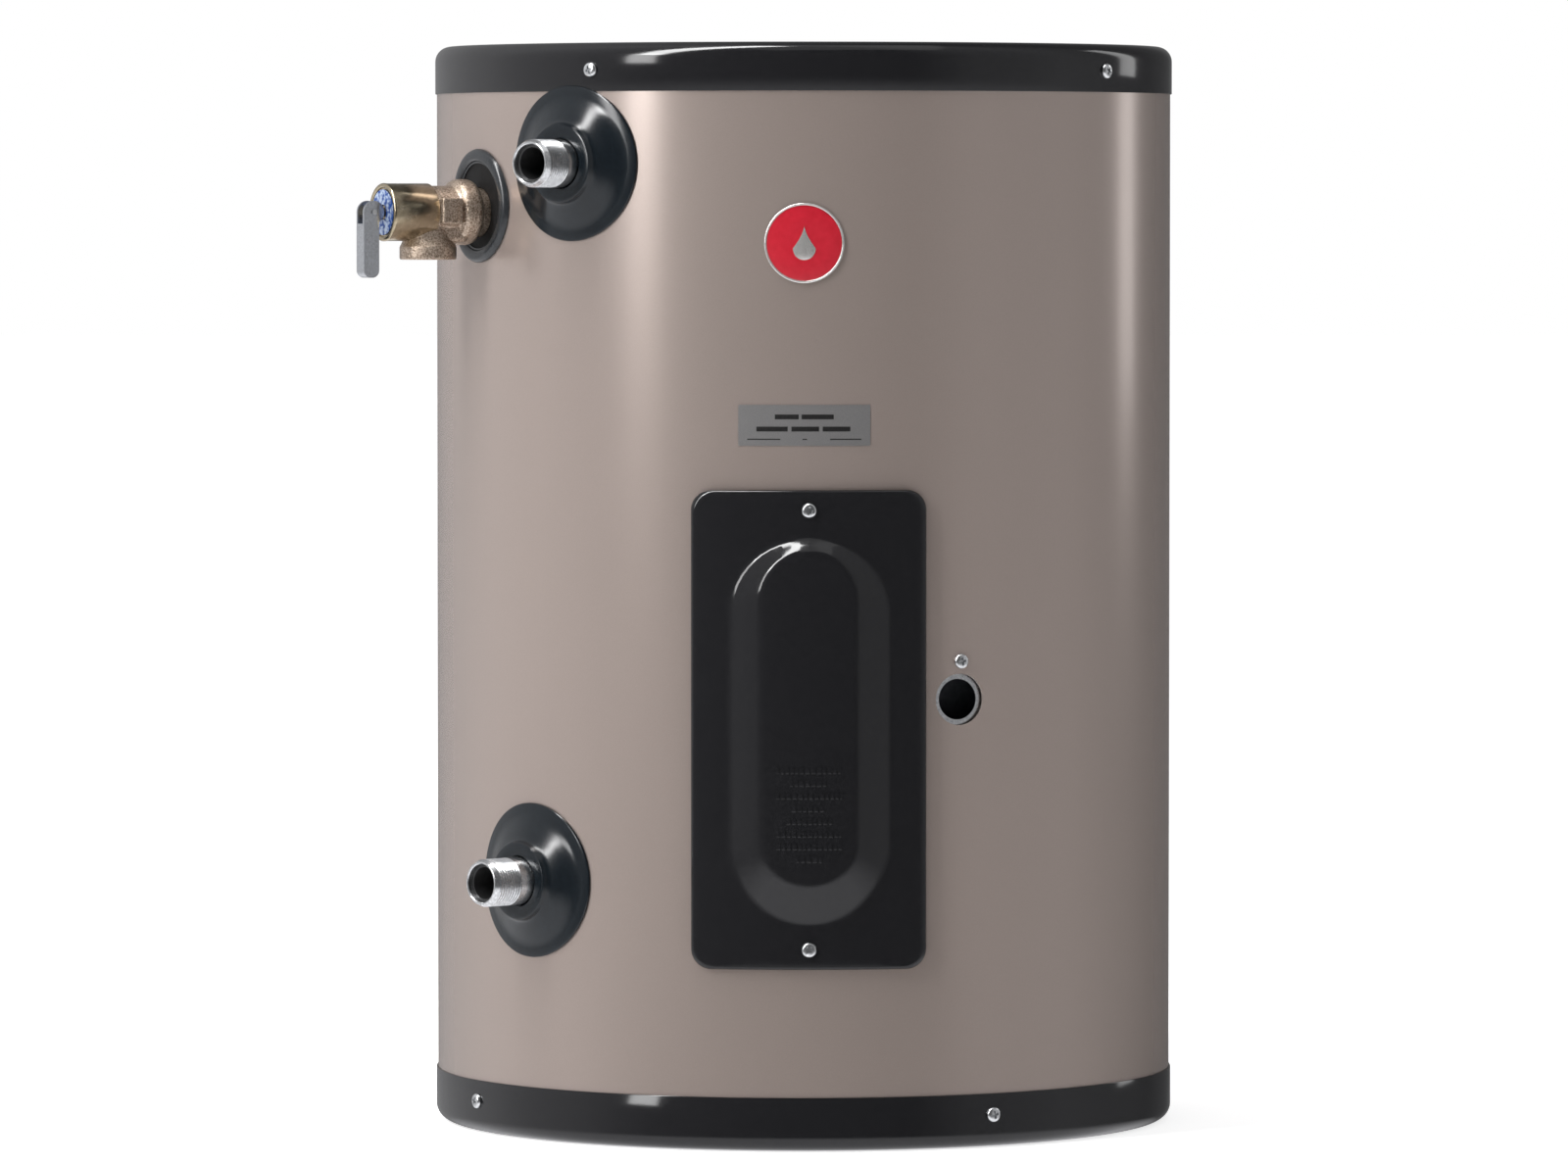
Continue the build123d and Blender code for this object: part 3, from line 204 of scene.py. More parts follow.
# %% Spun pieces
def arc(centre, radius, start, end, steps):
    """Points of an arc on (radius, station) axes, angles in degrees."""
    turns = [radians(start + (end - start) * step / steps) for step in range(steps + 1)]
    return [(centre[0] + radius * cos(turn), centre[1] + radius * sin(turn)) for turn in turns]


def spun(name, outline, steps=96, angle=32):
    """Surface of revolution about local Z from (radius, station) points in millimetres."""
    points = [Vector((radius * MM, 0, station * MM)) for radius, station in outline]
    bpy.ops.object.select_all(action="DESELECT")
    bpy.ops.mesh.primitive_plane_add(size=MM, location=(0, 0, 0))
    piece = named(name)
    editing(piece)
    bpy.ops.mesh.merge(type="CENTER")
    bpy.ops.transform.translate(value=points[0])
    for before, after in zip(points, points[1:]):
        bpy.ops.mesh.extrude_region_move(TRANSFORM_OT_translate={"value": after - before})
    bpy.ops.mesh.select_all(action="SELECT")
    bpy.ops.mesh.spin(steps=steps, angle=tau, center=(0, 0, 0), axis=(0, 0, 1))
    bpy.ops.mesh.select_all(action="SELECT")
    bpy.ops.mesh.remove_doubles(threshold=2e-6)
    bpy.ops.mesh.normals_make_consistent(inside=False)
    done()
    smooth(piece, angle)
    return piece


def dressed(piece, body, slot, *replaced):
    """Hand a finished piece to its CAD body, with its finish and the nodes it stands for."""
    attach(piece, body)
    if replaced:
        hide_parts(*replaced)
    piece.data.materials.clear()
    piece.data.materials.append(FINISHES[slot])
    print(piece.name, len(piece.data.polygons), "faces")
    return piece


# %% [markdown]
# ## Shared effects
# Two node groups serve many finishes. Grain gives a fine mottling as a mask and a height. Smears
# lets the roughness wander, as on anything that has been wiped and handled. They put out only what
# changes over the surface, and the plain numbers stay on each shader.


# %% Node group helpers
def new_group(name, inputs, outputs):
    """Shader node group with float sockets."""
    group = bpy.data.node_groups.new(name, "ShaderNodeTree")
    for label, value in inputs:
        socket = group.interface.new_socket(label, in_out="INPUT", socket_type="NodeSocketFloat")
        socket.default_value = value
    for label in outputs:
        group.interface.new_socket(label, in_out="OUTPUT", socket_type="NodeSocketFloat")
    return group


def add(tree, kind, **settings):
    """New node; settings in capitals are input sockets, the rest are properties."""
    node = tree.nodes.new(kind)
    for key, value in settings.items():
        if key[0].isupper():
            node.inputs[key.replace("_", " ")].default_value = value
        else:
            setattr(node, key, value)
    return node


def grain_group():
    """Noise on the piece's own coordinates, as a mask from 0 to 1."""
    group = new_group("grain", [("Scale", 900), ("Contrast", 0.5), ("Stretch", 1)], ["Mask"])
    start = add(group, "NodeGroupInput")
    place = add(group, "ShaderNodeTexCoord")
    squeeze = add(group, "ShaderNodeVectorMath", operation="MULTIPLY")
    along = add(group, "ShaderNodeCombineXYZ", X=1.0, Y=1.0)
    noise = add(group, "ShaderNodeTexNoise", Detail=3.0)
    spread = add(group, "ShaderNodeMapRange")
    low = add(group, "ShaderNodeMath", operation="MULTIPLY")
    high = add(group, "ShaderNodeMath", operation="SUBTRACT")
    low.inputs[1].default_value = 0.5
    high.inputs[0].default_value = 1.0
    end = add(group, "NodeGroupOutput")
    link = group.links.new
    link(start.outputs["Stretch"], along.inputs["Z"])
    link(place.outputs["Object"], squeeze.inputs[0])
    link(along.outputs[0], squeeze.inputs[1])
    link(squeeze.outputs[0], noise.inputs["Vector"])
    link(start.outputs["Scale"], noise.inputs["Scale"])
    link(start.outputs["Contrast"], low.inputs[0])
    link(low.outputs[0], high.inputs[1])
    link(noise.outputs["Fac"], spread.inputs["Value"])
    link(low.outputs[0], spread.inputs["From Min"])
    link(high.outputs[0], spread.inputs["From Max"])
    link(spread.outputs[0], end.inputs["Mask"])
    return group


def smears_group():
    """Roughness that wanders between two values in broad soft patches."""
    group = new_group("smears", [("Scale", 12), ("Low", 0.2), ("High", 0.3)], ["Roughness"])
    start = add(group, "NodeGroupInput")
    place = add(group, "ShaderNodeTexCoord")
    noise = add(group, "ShaderNodeTexNoise", Detail=5.0, Roughness=0.6)
    spread = add(group, "ShaderNodeMapRange", From_Min=0.3, From_Max=0.7)
    end = add(group, "NodeGroupOutput")
    link = group.links.new
    link(place.outputs["Object"], noise.inputs["Vector"])
    link(start.outputs["Scale"], noise.inputs["Scale"])
    link(noise.outputs["Fac"], spread.inputs["Value"])
    link(start.outputs["Low"], spread.inputs["To Min"])
    link(start.outputs["High"], spread.inputs["To Max"])
    link(spread.outputs[0], end.inputs["Roughness"])
    return group


GRAIN = grain_group()
SMEARS = smears_group()


# %% A finish from the shared effects
def finish(name, dark, light, metallic=0.0, rough=(0.3, 0.4), grain=900, stretch=1.0, contrast=0.5,
           bump=0.1, depth=0.05, patches=12, coat=0.0, **plain):
    """Principled material: two colours mottled by grain, wandering roughness and a fine bump.

    Depth is the bump's height in millimetres. Plain settings go straight on the shader."""
    material = bpy.data.materials.new(name)
    material.use_nodes = True
    tree = material.node_tree
    shader = tree.nodes["Principled BSDF"]
    mottle = add(tree, "ShaderNodeGroup", node_tree=GRAIN, Scale=grain, Contrast=contrast,
                 Stretch=stretch)
    wander = add(tree, "ShaderNodeGroup", node_tree=SMEARS, Scale=patches, Low=rough[0],
                 High=rough[1])
    blend = add(tree, "ShaderNodeMix", data_type="RGBA")
    blend.inputs["A"].default_value = (*dark, 1)
    blend.inputs["B"].default_value = (*light, 1)
    relief = add(tree, "ShaderNodeBump", Strength=bump, Distance=depth * MM)
    link = tree.links.new
    link(mottle.outputs["Mask"], blend.inputs["Factor"])
    link(blend.outputs["Result"], shader.inputs["Base Color"])
    link(wander.outputs["Roughness"], shader.inputs["Roughness"])
    link(mottle.outputs["Mask"], relief.inputs["Height"])
    link(relief.outputs["Normal"], shader.inputs["Normal"])
    shader.inputs["Metallic"].default_value = metallic
    shader.inputs["Coat Weight"].default_value = coat
    shader.inputs["Coat Roughness"].default_value = 0.08
    for key, value in plain.items():
        shader.inputs[key.replace("_", " ")].default_value = value
    return material


# %% [markdown]
# ## Finishes
# Painted steel is a metallic base under a clear coat. Enamel is nearly black and very smooth, so it
# lives from its reflections. Rubber, cast bronze, turned brass and zinc differ mostly in how rough
# they are and at what scale. Each finish is listed under its material slot in the record.

# %% Finishes of the casing and fittings
FINISHES = {
    "jacket_paint": finish("jacket_paint", (0.290, 0.240, 0.217), (0.325, 0.270, 0.245), 0.5,
                           (0.22, 0.25), grain=2600, bump=0.015, depth=0.008, patches=4, coat=0.1),
    "black_enamel": finish("black_enamel", (0.006, 0.006, 0.007), (0.009, 0.009, 0.010), 0.0,
                           (0.09, 0.12), grain=420, bump=0.015, depth=0.02, patches=9,
                           Specular_IOR_Level=0.42),
    "zinc": finish("zinc", (0.50, 0.51, 0.52), (0.80, 0.81, 0.82), 1.0, (0.16, 0.32), grain=700,
                   bump=0.12, depth=0.03, patches=90),
    "tank_steel": finish("tank_steel", (0.05, 0.055, 0.065), (0.09, 0.095, 0.11), 0.5,
                         (0.4, 0.6), grain=300, bump=0.2, depth=0.1, patches=20),
    "boot_rubber": finish("boot_rubber", (0.002, 0.004, 0.006), (0.005, 0.008, 0.011), 0.0,
                          (0.13, 0.24), grain=600, bump=0.08, depth=0.04, patches=30,
                          Specular_IOR_Level=0.45),
    "bronze": finish("bronze", (0.20, 0.138, 0.098), (0.66, 0.545, 0.44), 0.85, (0.26, 0.42),
                     grain=1150, contrast=0.66, bump=0.55, depth=0.22, patches=110),
    "brass": finish("brass", (0.36, 0.30, 0.20), (0.50, 0.43, 0.315), 1.0, (0.16, 0.3), grain=500,
                    bump=0.06, depth=0.03, patches=70),
    "die_cast": finish("die_cast", (0.40, 0.41, 0.43), (0.54, 0.56, 0.59), 0.95, (0.14, 0.30),
                       grain=1000, bump=0.12, depth=0.05, patches=120),
    "foil": finish("foil", (0.03, 0.09, 0.34), (0.50, 0.60, 0.78), 0.6, (0.18, 0.28), grain=420,
                   contrast=0.85, bump=0.02, depth=0.01, patches=60),
    "dark_plastic": finish("dark_plastic", (0.012, 0.014, 0.016), (0.022, 0.024, 0.027), 0.0,
                           (0.16, 0.26), grain=500, bump=0.06, depth=0.04, patches=30),
    "liner_plastic": finish("liner_plastic", (0.012, 0.012, 0.012), (0.025, 0.025, 0.026), 0.0,
                            (0.4, 0.5), grain=500, bump=0.1, depth=0.04, patches=30),
    "foam": finish("foam", (0.50, 0.40, 0.20), (0.68, 0.57, 0.34), 0.0, (0.8, 0.95), grain=260,
                   bump=0.8, depth=0.8, patches=20),
    "moulded_foam": finish("moulded_foam", (0.70, 0.70, 0.68), (0.86, 0.86, 0.84), 0.0,
                           (0.6, 0.8), grain=320, bump=0.5, depth=0.3, patches=20),
    "box_plastic": finish("box_plastic", (0.03, 0.03, 0.032), (0.05, 0.05, 0.053), 0.0,
                          (0.4, 0.55), grain=600, bump=0.2, depth=0.05, patches=20),
    "phenolic": finish("phenolic", (0.012, 0.010, 0.008), (0.03, 0.026, 0.022), 0.0, (0.3, 0.45),
                       grain=900, bump=0.1, depth=0.03, patches=40),
    "red_plastic": finish("red_plastic", (0.50, 0.01, 0.01), (0.62, 0.02, 0.015), 0.0,
                          (0.2, 0.3), grain=600, bump=0.05, depth=0.02, patches=60),
    "clear_plastic": finish("clear_plastic", (0.72, 0.60, 0.30), (0.80, 0.68, 0.36), 0.0,
                            (0.12, 0.2), grain=200, bump=0.03, depth=0.02, patches=20,
                            Transmission_Weight=0.6),
    "spring_steel": finish("spring_steel", (0.28, 0.29, 0.31), (0.42, 0.43, 0.45), 1.0,
                           (0.25, 0.4), grain=900, bump=0.1, depth=0.02, patches=60),
    "element_sheath": finish("element_sheath", (0.20, 0.19, 0.18), (0.34, 0.32, 0.30), 1.0,
                             (0.35, 0.5), grain=900, bump=0.15, depth=0.02, patches=60),
    "magnesium": finish("magnesium", (0.40, 0.40, 0.40), (0.58, 0.58, 0.58), 0.9, (0.4, 0.6),
                        grain=400, bump=0.3, depth=0.08, patches=40),
    "red_enamel": finish("red_enamel", (0.34, 0.006, 0.016), (0.39, 0.009, 0.021), 0.0,
                         (0.22, 0.28), grain=300, bump=0.03, depth=0.02, patches=30, coat=0.4),
    "badge_metal": finish("badge_metal", (0.62, 0.60, 0.58), (0.76, 0.74, 0.72), 0.8,
                          (0.18, 0.26), grain=900, bump=0.05, depth=0.02, patches=50),
    "label_grey": finish("label_grey", (0.125, 0.122, 0.122), (0.15, 0.147, 0.147), 0.3,
                         (0.4, 0.48), grain=1500, bump=0.05, depth=0.02, patches=30),
    "wire_insulation": finish("wire_insulation", (0.35, 0.02, 0.015), (0.45, 0.03, 0.02), 0.0,
                              (0.3, 0.4), grain=500, bump=0.05, depth=0.02, patches=60),
    "gasket_rubber": finish("gasket_rubber", (0.005, 0.005, 0.005), (0.011, 0.010, 0.010), 0.0,
                            (0.5, 0.7), grain=700, bump=0.2, depth=0.05, patches=40,
                            Specular_IOR_Level=0.2),
}
for entry in frame["record"]["subparts"]:
    mesh = nodes[entry["node"]].data
    mesh.materials.clear()
    mesh.materials.append(FINISHES[entry["material_slot"]])
print(len(FINISHES), "finishes on", len(nodes), "nodes")

# %% [markdown]
# ## Jacket
# The jacket is one sheet rolled round the tank, with its two edges folded into a lock seam at the
# back. A cylinder with many sides, given its thickness, is smooth enough for a long reflection.
# The openings are cut with radial cutters, because each one is hidden by the piece that covers it
# or shows its thin edge.

# %% Flat stock
FACETS = 288
SHEET = 0.8


def block(name, size, centre):
    """Box of this size in millimetres about a centre, both in local axes."""
    bpy.ops.object.select_all(action="DESELECT")
    bpy.ops.mesh.primitive_cube_add(size=MM, location=[part * MM for part in centre])
    piece = named(name)
    editing(piece)
    bpy.ops.transform.resize(value=size)
    done()
    alone(piece)
    bpy.ops.object.transform_apply(location=True)
    return piece


def peg(radius, near, far, way, sides=96):
    """Radial cutter between two stations, in millimetres."""
    bpy.ops.object.select_all(action="DESELECT")
    bpy.ops.mesh.primitive_cylinder_add(vertices=sides, radius=radius * MM, depth=(far - near) * MM,
                                        location=(0, 0, (far + near) / 2 * MM))
    return settle(named("cutter"), way)


# %% Jacket sheet
face = jacket_r / MM
PIPE_HOLE = 22.0
DRAIN_HOLE = 14.0
VALVE_HOLE = 23.5
CONDUIT_HOLE = 14.0
ACCESS_W, ACCESS_H, ACCESS_CORNER = 104.0, 223.0, 6.0
ring_way = way_out(joints["relief_stem_lift"]["axis"], middle("relief_escutcheon").z)
conduit_way = way_out(mounts["conduit_entry"]["axis"], mounts["conduit_entry"]["pos_m"][2])
bpy.ops.object.select_all(action="DESELECT")
bpy.ops.mesh.primitive_cylinder_add(vertices=FACETS, radius=jacket_r, end_fill_type="NOTHING",
                                    depth=jacket_high.z - jacket_low.z,
                                    location=(0, 0, (jacket_high.z + jacket_low.z) / 2))
jacket = settle(named("jacket_sheet"), Matrix())
modifier(jacket, "SOLIDIFY", thickness=SHEET * MM, offset=-1)
for radius, way in ((PIPE_HOLE, hot_way), (PIPE_HOLE, cold_way), (VALVE_HOLE, ring_way),
                    (DRAIN_HOLE, drain_way), (CONDUIT_HOLE, conduit_way)):
    carve(jacket, peg(radius, face - 30, face + 30, way))
access = block("cutter", (ACCESS_W, ACCESS_H, 60), (0, 0, face))
editing(access, "EDGE")
pick(access, "edges", lambda edge: abs((access.data.vertices[edge.vertices[0]].co
                                        - access.data.vertices[edge.vertices[1]].co).z) > 50 * MM)
bpy.ops.mesh.bevel(offset=ACCESS_CORNER * MM, segments=6)
done()
carve(jacket, settle(access, cover_way))

# %% Lock seam at the back
SEAM_W, SEAM_FOLD, SEAM_PROUD = 9.0, 5.0, 1.4
seam_low, seam_high = 31.5, height / MM - 28.6
seam_middle, seam_long = (seam_high + seam_low) / 2, seam_high - seam_low
under = block("seam", (SEAM_W, 1.0, seam_long), (0, face + 0.2, seam_middle))
rounded(under, 0.35 * MM, 3)
over = block("seam", (SEAM_FOLD, SEAM_PROUD, seam_long - 0.4),
             (-(SEAM_W - SEAM_FOLD) / 2, face + SEAM_PROUD / 2, seam_middle))
rounded(over, 0.5 * MM, 4)
jacket = join([jacket, under, over], "jacket_sheet")
smooth(jacket)
dressed(jacket, "heater", "jacket_paint", "jacket")

# %% [markdown]
# ## End pans
# Both ends are pressed pans that slip over the jacket. A pan is a turned shape: a disc with a
# shallow step, a rounded corner and a straight skirt. The wall's inside is part of the same
# outline, so that the rim of the skirt shows its real thickness.

# %% Pans
PAN_ROUND = 8.5
STEP_R, STEP_DEPTH = 182.0, 2.0
rim = pan_r / MM
top = height / MM


def pan_outline(end, skirt, inward, step):
    """Outline of a pan whose closed end is at one station and whose skirt ends at another."""
    corner = end + inward * PAN_ROUND
    turn = 90 if inward < 0 else -90
    deep = end + inward * step
    disc = [(0, deep), (STEP_R - 2, deep), (STEP_R - 0.5, deep - inward * 0.25 * step),
            (STEP_R + 1.0, end + inward * 0.25 * step), (STEP_R + 2.5, end)]
    inner = [(radius - 0.05 * SHEET, station + inward * SHEET) for radius, station in disc]
    return (disc + arc((rim - PAN_ROUND, corner), PAN_ROUND, turn, 0, 10)
            + [(rim, skirt - inward * 0.3), (rim - 0.15, skirt), (rim - SHEET + 0.15, skirt),
               (rim - SHEET, skirt - inward * 0.3)]
            + arc((rim - PAN_ROUND, corner), PAN_ROUND - SHEET, 0, turn, 8) + inner[::-1])


lid = spun("lid", pan_outline(top, pan_low.z / MM, -1, STEP_DEPTH), FACETS, 40)
dressed(lid, "heater", "black_enamel", "top_pan")
base = spun("base", pan_outline(0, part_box("bottom_pan")[1].z / MM, 1, 0.0), FACETS, 40)
dressed(base, "heater", "black_enamel", "bottom_pan")

# %% [markdown]
# ## Access cover
# The cover is a pressed sheet: a rounded rectangle with a raised stadium in its middle. Insetting
# or bridging would twist between two such different outlines, so this piece is lofted: loops with
# equally many points, joined point to point. A bevel softens its bends, and the flat shape is cut
# into narrow strips before it is laid round the jacket.

# %% Flat outlines and rolling
CORNER_STEPS = 12


def outline(width, tall, corner, station, up=0.0):
    """Flat face with round corners, at a height over the jacket."""
    bpy.ops.object.select_all(action="DESELECT")
    bpy.ops.mesh.primitive_plane_add(size=MM, location=(0, 0, 0))
    piece = named("outline")
    editing(piece)
    bpy.ops.transform.resize(value=(width, tall, 1))
    bpy.ops.mesh.bevel(offset=corner * MM, segments=CORNER_STEPS, affect="VERTICES")
    bpy.ops.mesh.select_all(action="SELECT")
    bpy.ops.transform.translate(value=(0, up * MM, station * MM))
    done()
    return piece


def rolled(piece, hub=None):
    """Lay a flat piece round the jacket. Local Z is its height over the jacket's face.

    Inside the hub's first radius the piece stays straight, and from its second it lies rolled."""
    for vertex in piece.data.vertices:
        x, y, z = vertex.co
        around = sqrt((jacket_r + z) ** 2 - x * x)
        share = 1.0
        if hub:
            share = max(0.0, min(1.0, (sqrt(x * x + y * y) / MM - hub[0]) / (hub[1] - hub[0])))
            share = share * share * (3 - 2 * share)
        vertex.co.z = around * share + (jacket_r + z) * (1 - share)
    piece.data.update()
    return piece


def strips(piece, half_width, pitch):
    """Cut a flat piece along upright lines, so that it can be rolled smoothly."""
    editing(piece)
    count = int(half_width / pitch)
    for step in range(-count, count + 1):
        bpy.ops.mesh.select_all(action="SELECT")
        bpy.ops.mesh.bisect(plane_co=(step * pitch * MM, 0, 0), plane_no=(1, 0, 0))
    done()


# %% Cover
COVER_W, COVER_H, COVER_CORNER, COVER_PROUD = 128.2, 261.2, 11.0, 4.5
PANEL_W, PANEL_H, PANEL_RISE = 86.7, 210.2, 7.65
FLAT_W, FLAT_H, FLAT_UP = 51.9, 181.9, 6.0
COVER_ROUND = 2.4


def loop(width, tall, corner, station, up=0.0):
    """Points of a rounded rectangle at a height over the jacket, one arc for each corner."""
    points = []
    for quarter, (right, upper) in enumerate(((1, 1), (-1, 1), (-1, -1), (1, -1))):
        centre = (right * (width / 2 - corner), up + upper * (tall / 2 - corner))
        for x, y in arc(centre, corner, 90 * quarter, 90 * quarter + 90, CORNER_STEPS):
            points.append(Vector((x, y, station)))
    return points


def between(first, last, share):
    """Loop part of the way from one loop to another."""
    return [before.lerp(after, share) for before, after in zip(first, last)]


def lofted(name, loops):
    """Surface through loops of equally many points, closed over the last one."""
    count = len(loops[0])
    faces = [(ring * count + i, ring * count + (i + 1) % count,
              (ring + 1) * count + (i + 1) % count, (ring + 1) * count + i)
             for ring in range(len(loops) - 1) for i in range(count)]
    faces.append(tuple(range((len(loops) - 1) * count, len(loops) * count)))
    mesh = bpy.data.meshes.new(name)
    mesh.from_pydata([point * MM for points in loops for point in points], [], faces)
    piece = bpy.data.objects.new(name, mesh)
    bpy.context.scene.collection.objects.link(piece)
    tidy(piece)
    return piece


skirt = loop(COVER_W, COVER_H, COVER_CORNER, 0.15)
edge = loop(COVER_W, COVER_H, COVER_CORNER, COVER_PROUD)
foot = loop(PANEL_W, PANEL_H, PANEL_W / 2 - 0.3, COVER_PROUD)
flat = loop(FLAT_W, FLAT_H, FLAT_W / 2 - 0.3, COVER_PROUD + PANEL_RISE, FLAT_UP)
cover = lofted("cover_panel", [skirt, edge, between(edge, foot, 0.33), between(edge, foot, 0.67),
                               foot, between(foot, flat, 0.5), flat])
rounded(cover, COVER_ROUND * MM, 4, 14)
strips(cover, COVER_W / 2, 5.0)
rolled(cover)
modifier(cover, "SOLIDIFY", thickness=SHEET * MM, offset=-1)
settle(cover, cover_way)
smooth(cover, 30)
dressed(cover, "cover", "black_enamel", "access_cover")
print("cover", [round(edge / MM, 1) for edge in cover.dimensions])

# %% [markdown]
# ## Pipe connections
# Two steel nipples stand out of rubber boots. The boots are turned: a thin flange that follows the
# jacket, a wide cone and a stepped hub that stays square to the pipe. The thread is a stack of
# ridges at the pitch of a 3/4 inch pipe thread, with a chamfer where it starts.

# %% Boots
BOOT_OUTLINE = ([(13.6, 0.2), (42.3, 0.2), (42.5, 0.5), (42.5, 1.2), (42.2, 1.6), (41.6, 1.8)]
                + [(38.0, 1.95), (36.0, 2.3), (33.0, 3.4), (29.5, 4.9), (26.0, 6.4)]
                + [(24.2, 7.3), (23.2, 7.9), (22.4, 8.6), (21.9, 9.6), (21.5, 11.0)]
                + [(21.1, 11.7), (20.4, 12.0), (15.4, 12.0), (14.4, 11.8), (13.8, 11.2)]
                + [(13.6, 10.2)])
for name, way in (("hot_outlet_boot", hot_way), ("cold_inlet_boot", cold_way)):
    boot = spun("boot_" + name.split("_")[0], BOOT_OUTLINE + [(13.6, 0.2)], 128, 30)
    rolled(boot, (23.0, 34.0))
    settle(boot, way)
    dressed(boot, "heater", "boot_rubber", name)

# %% Nipples
PIPE_R, THREAD_R, BORE_R = 13.335, 13.1, 10.45
THREAD_LENGTH, PITCH, THREAD_DEPTH = 19.0, 25.4 / 14, 0.95


def nipple_outline(start, end):
    """Wall of a nipple with a ridged thread that begins in a chamfer."""
    ridges = []
    station = end - THREAD_LENGTH
    while station + PITCH < end - 1.2:
        ridges += [(THREAD_R, station), (THREAD_R, station + 0.25 * PITCH),
                   (THREAD_R - THREAD_DEPTH, station + 0.62 * PITCH)]
        station += PITCH
    return ([(BORE_R, start), (PIPE_R, start), (PIPE_R, end - THREAD_LENGTH - 0.8)] + ridges
            + [(THREAD_R, station), (THREAD_R - 1.3, end - 0.1), (THREAD_R - 1.5, end),
               (BORE_R + 0.5, end), (BORE_R, end - 0.5), (BORE_R, start)])


for name, way in (("hot_outlet_nipple", hot_way), ("cold_inlet_nipple", cold_way)):
    near, far = reach(name, way)
    nipple = spun("pipe_" + name.split("_")[0], nipple_outline(near / MM, far / MM), 96, 24)
    settle(nipple, way)
    dressed(nipple, "heater", "zinc", name)

# %% [markdown]
# ## Relief valve
# The body is a sand casting: a round hub, a barrel and an outlet that points down, run together
# with soft corners. Separate turned pieces are joined, and a voxel remesh with some smoothing
# melts them into one casting, which is then bored out, so that the disc inside it has room to
# lift. The bonnet is a smooth brass cap with a bright rolled rim. A thin dark disc of painted shade lies
# under the ring on the jacket and hides the foam round the valve's neck, which is in shadow there.

# %% Cast body
HUB_R, HUB_NEAR, HUB_FAR = 18.2, 5.0, 18.0
BARREL_R, SHANK_R = 14.6, 13.2
OUTLET_AT, OUTLET_R, OUTLET_BORE = 32.0, 15.75, 12.1
OUTLET_DROP, OUTLET_RIM_H = 26.2, 8.2
PAD_W, PAD_H, PAD_NEAR = 12.5, 14.6, 19.0
CHAMBER_R, WATERWAY_R, SEAT = 12.1, 8.0, 15.5
hub = spun("cast", [(0, face - 30), (SHANK_R, face - 30), (SHANK_R, face + HUB_NEAR)]
           + arc((HUB_R - 4, face + HUB_NEAR + 4), 4, -90, 0, 6)
           + arc((HUB_R - 4, face + HUB_FAR - 4), 4, 0, 70, 6)
           + [(BARREL_R, face + HUB_FAR + 0.5), (BARREL_R, face + 44), (0, face + 44)], 64)
outlet = spun("cast", [(0, 0), (11.5, 0), (12.6, 9), (13.4, 14), (15.0, OUTLET_DROP - OUTLET_RIM_H),
                       (OUTLET_R, OUTLET_DROP - OUTLET_RIM_H + 1), (OUTLET_R, OUTLET_DROP - 0.6),
                       (OUTLET_R - 0.6, OUTLET_DROP), (0, OUTLET_DROP)], 64)
downward = (Matrix.Translation((0, 0, (face + OUTLET_AT) * MM))
            @ Matrix.Rotation(pi / 2, 4, "X"))
settle(outlet, downward)
gusset = block("cast", (15, 15, 24), (4.5, -9.5, face + OUTLET_AT - 7))
rounded(gusset, 2.5 * MM, 2)
pad = block("cast", (5, PAD_H, PAD_W), (15.2, 0.6, face + PAD_NEAR + PAD_W / 2))
rounded(pad, 0.8 * MM, 2)
valve = join([hub, outlet, gusset, pad], "valve_body")
modifier(valve, "REMESH", mode="VOXEL", voxel_size=0.55 * MM)
modifier(valve, "SMOOTH", factor=0.5, iterations=5)
pocket = block("cutter", (3, PAD_H - 4.4, PAD_W - 4.4), (18.2, 0.6, face + PAD_NEAR + PAD_W / 2))
carve(valve, pocket)
carve(valve, peg(OUTLET_BORE, 6, OUTLET_DROP + 2, downward, 48))
carve(valve, peg(CHAMBER_R, face + SEAT, face + 50, Matrix(), 48))
carve(valve, peg(WATERWAY_R, face - 34, face + SEAT + 0.5, Matrix(), 48))
settle(valve, valve_way)
smooth(valve, 50)
dressed(valve, "heater", "bronze", "relief_body")

# %% Bonnet
BONNET_R, BONNET_NEAR, BONNET_FAR, BEZEL_W = 15.85, 32.5, 59.7, 2.2
bonnet = spun("valve_bonnet", [
    (BARREL_R + 0.1, face + BONNET_NEAR), (BONNET_R - 0.3, face + BONNET_NEAR),
    (BONNET_R, face + BONNET_NEAR + 0.4), (BONNET_R, face + BONNET_FAR - 2.2)]
    + arc((BONNET_R - 1.1, face + BONNET_FAR - 0.4), 1.3, -10, 190, 10)
    + [(BONNET_R - BEZEL_W - 0.2, face + BONNET_FAR - 0.6), (2.6, face + BONNET_FAR - 0.6),
       (2.6, face + BONNET_FAR - 1.6), (BARREL_R + 0.1, face + BONNET_FAR - 1.6),
       (BARREL_R + 0.1, face + BONNET_NEAR)], 96, 40)
settle(bonnet, valve_way)
dressed(bonnet, "heater", "brass", "relief_bonnet")

# %% Escutcheon
ring = spun("valve_ring", [(24.0, 0.3), (31.3, 0.3), (31.5, 0.8)] + arc((28.3, 0.4), 3.1, 8, 90, 6)
            + arc((27.0, 0.9), 2.6, 90, 172, 6) + [(23.6, 0.9), (24.0, 0.3)], 128, 35)
rolled(ring)
settle(ring, ring_way)
dressed(ring, "heater", "dark_plastic", "relief_escutcheon")
# Painted shade: a thin dark disc over the foam round the valve's neck, where shadow falls
shade_disc = spun("valve_washer", [(13.7, 0.06), (27.3, 0.06), (27.3, 0.26), (13.7, 0.26),
                               (13.7, 0.06)], 96, 35)
rolled(shade_disc)
settle(shade_disc, valve_way)
dressed(shade_disc, "heater", "gasket_rubber")

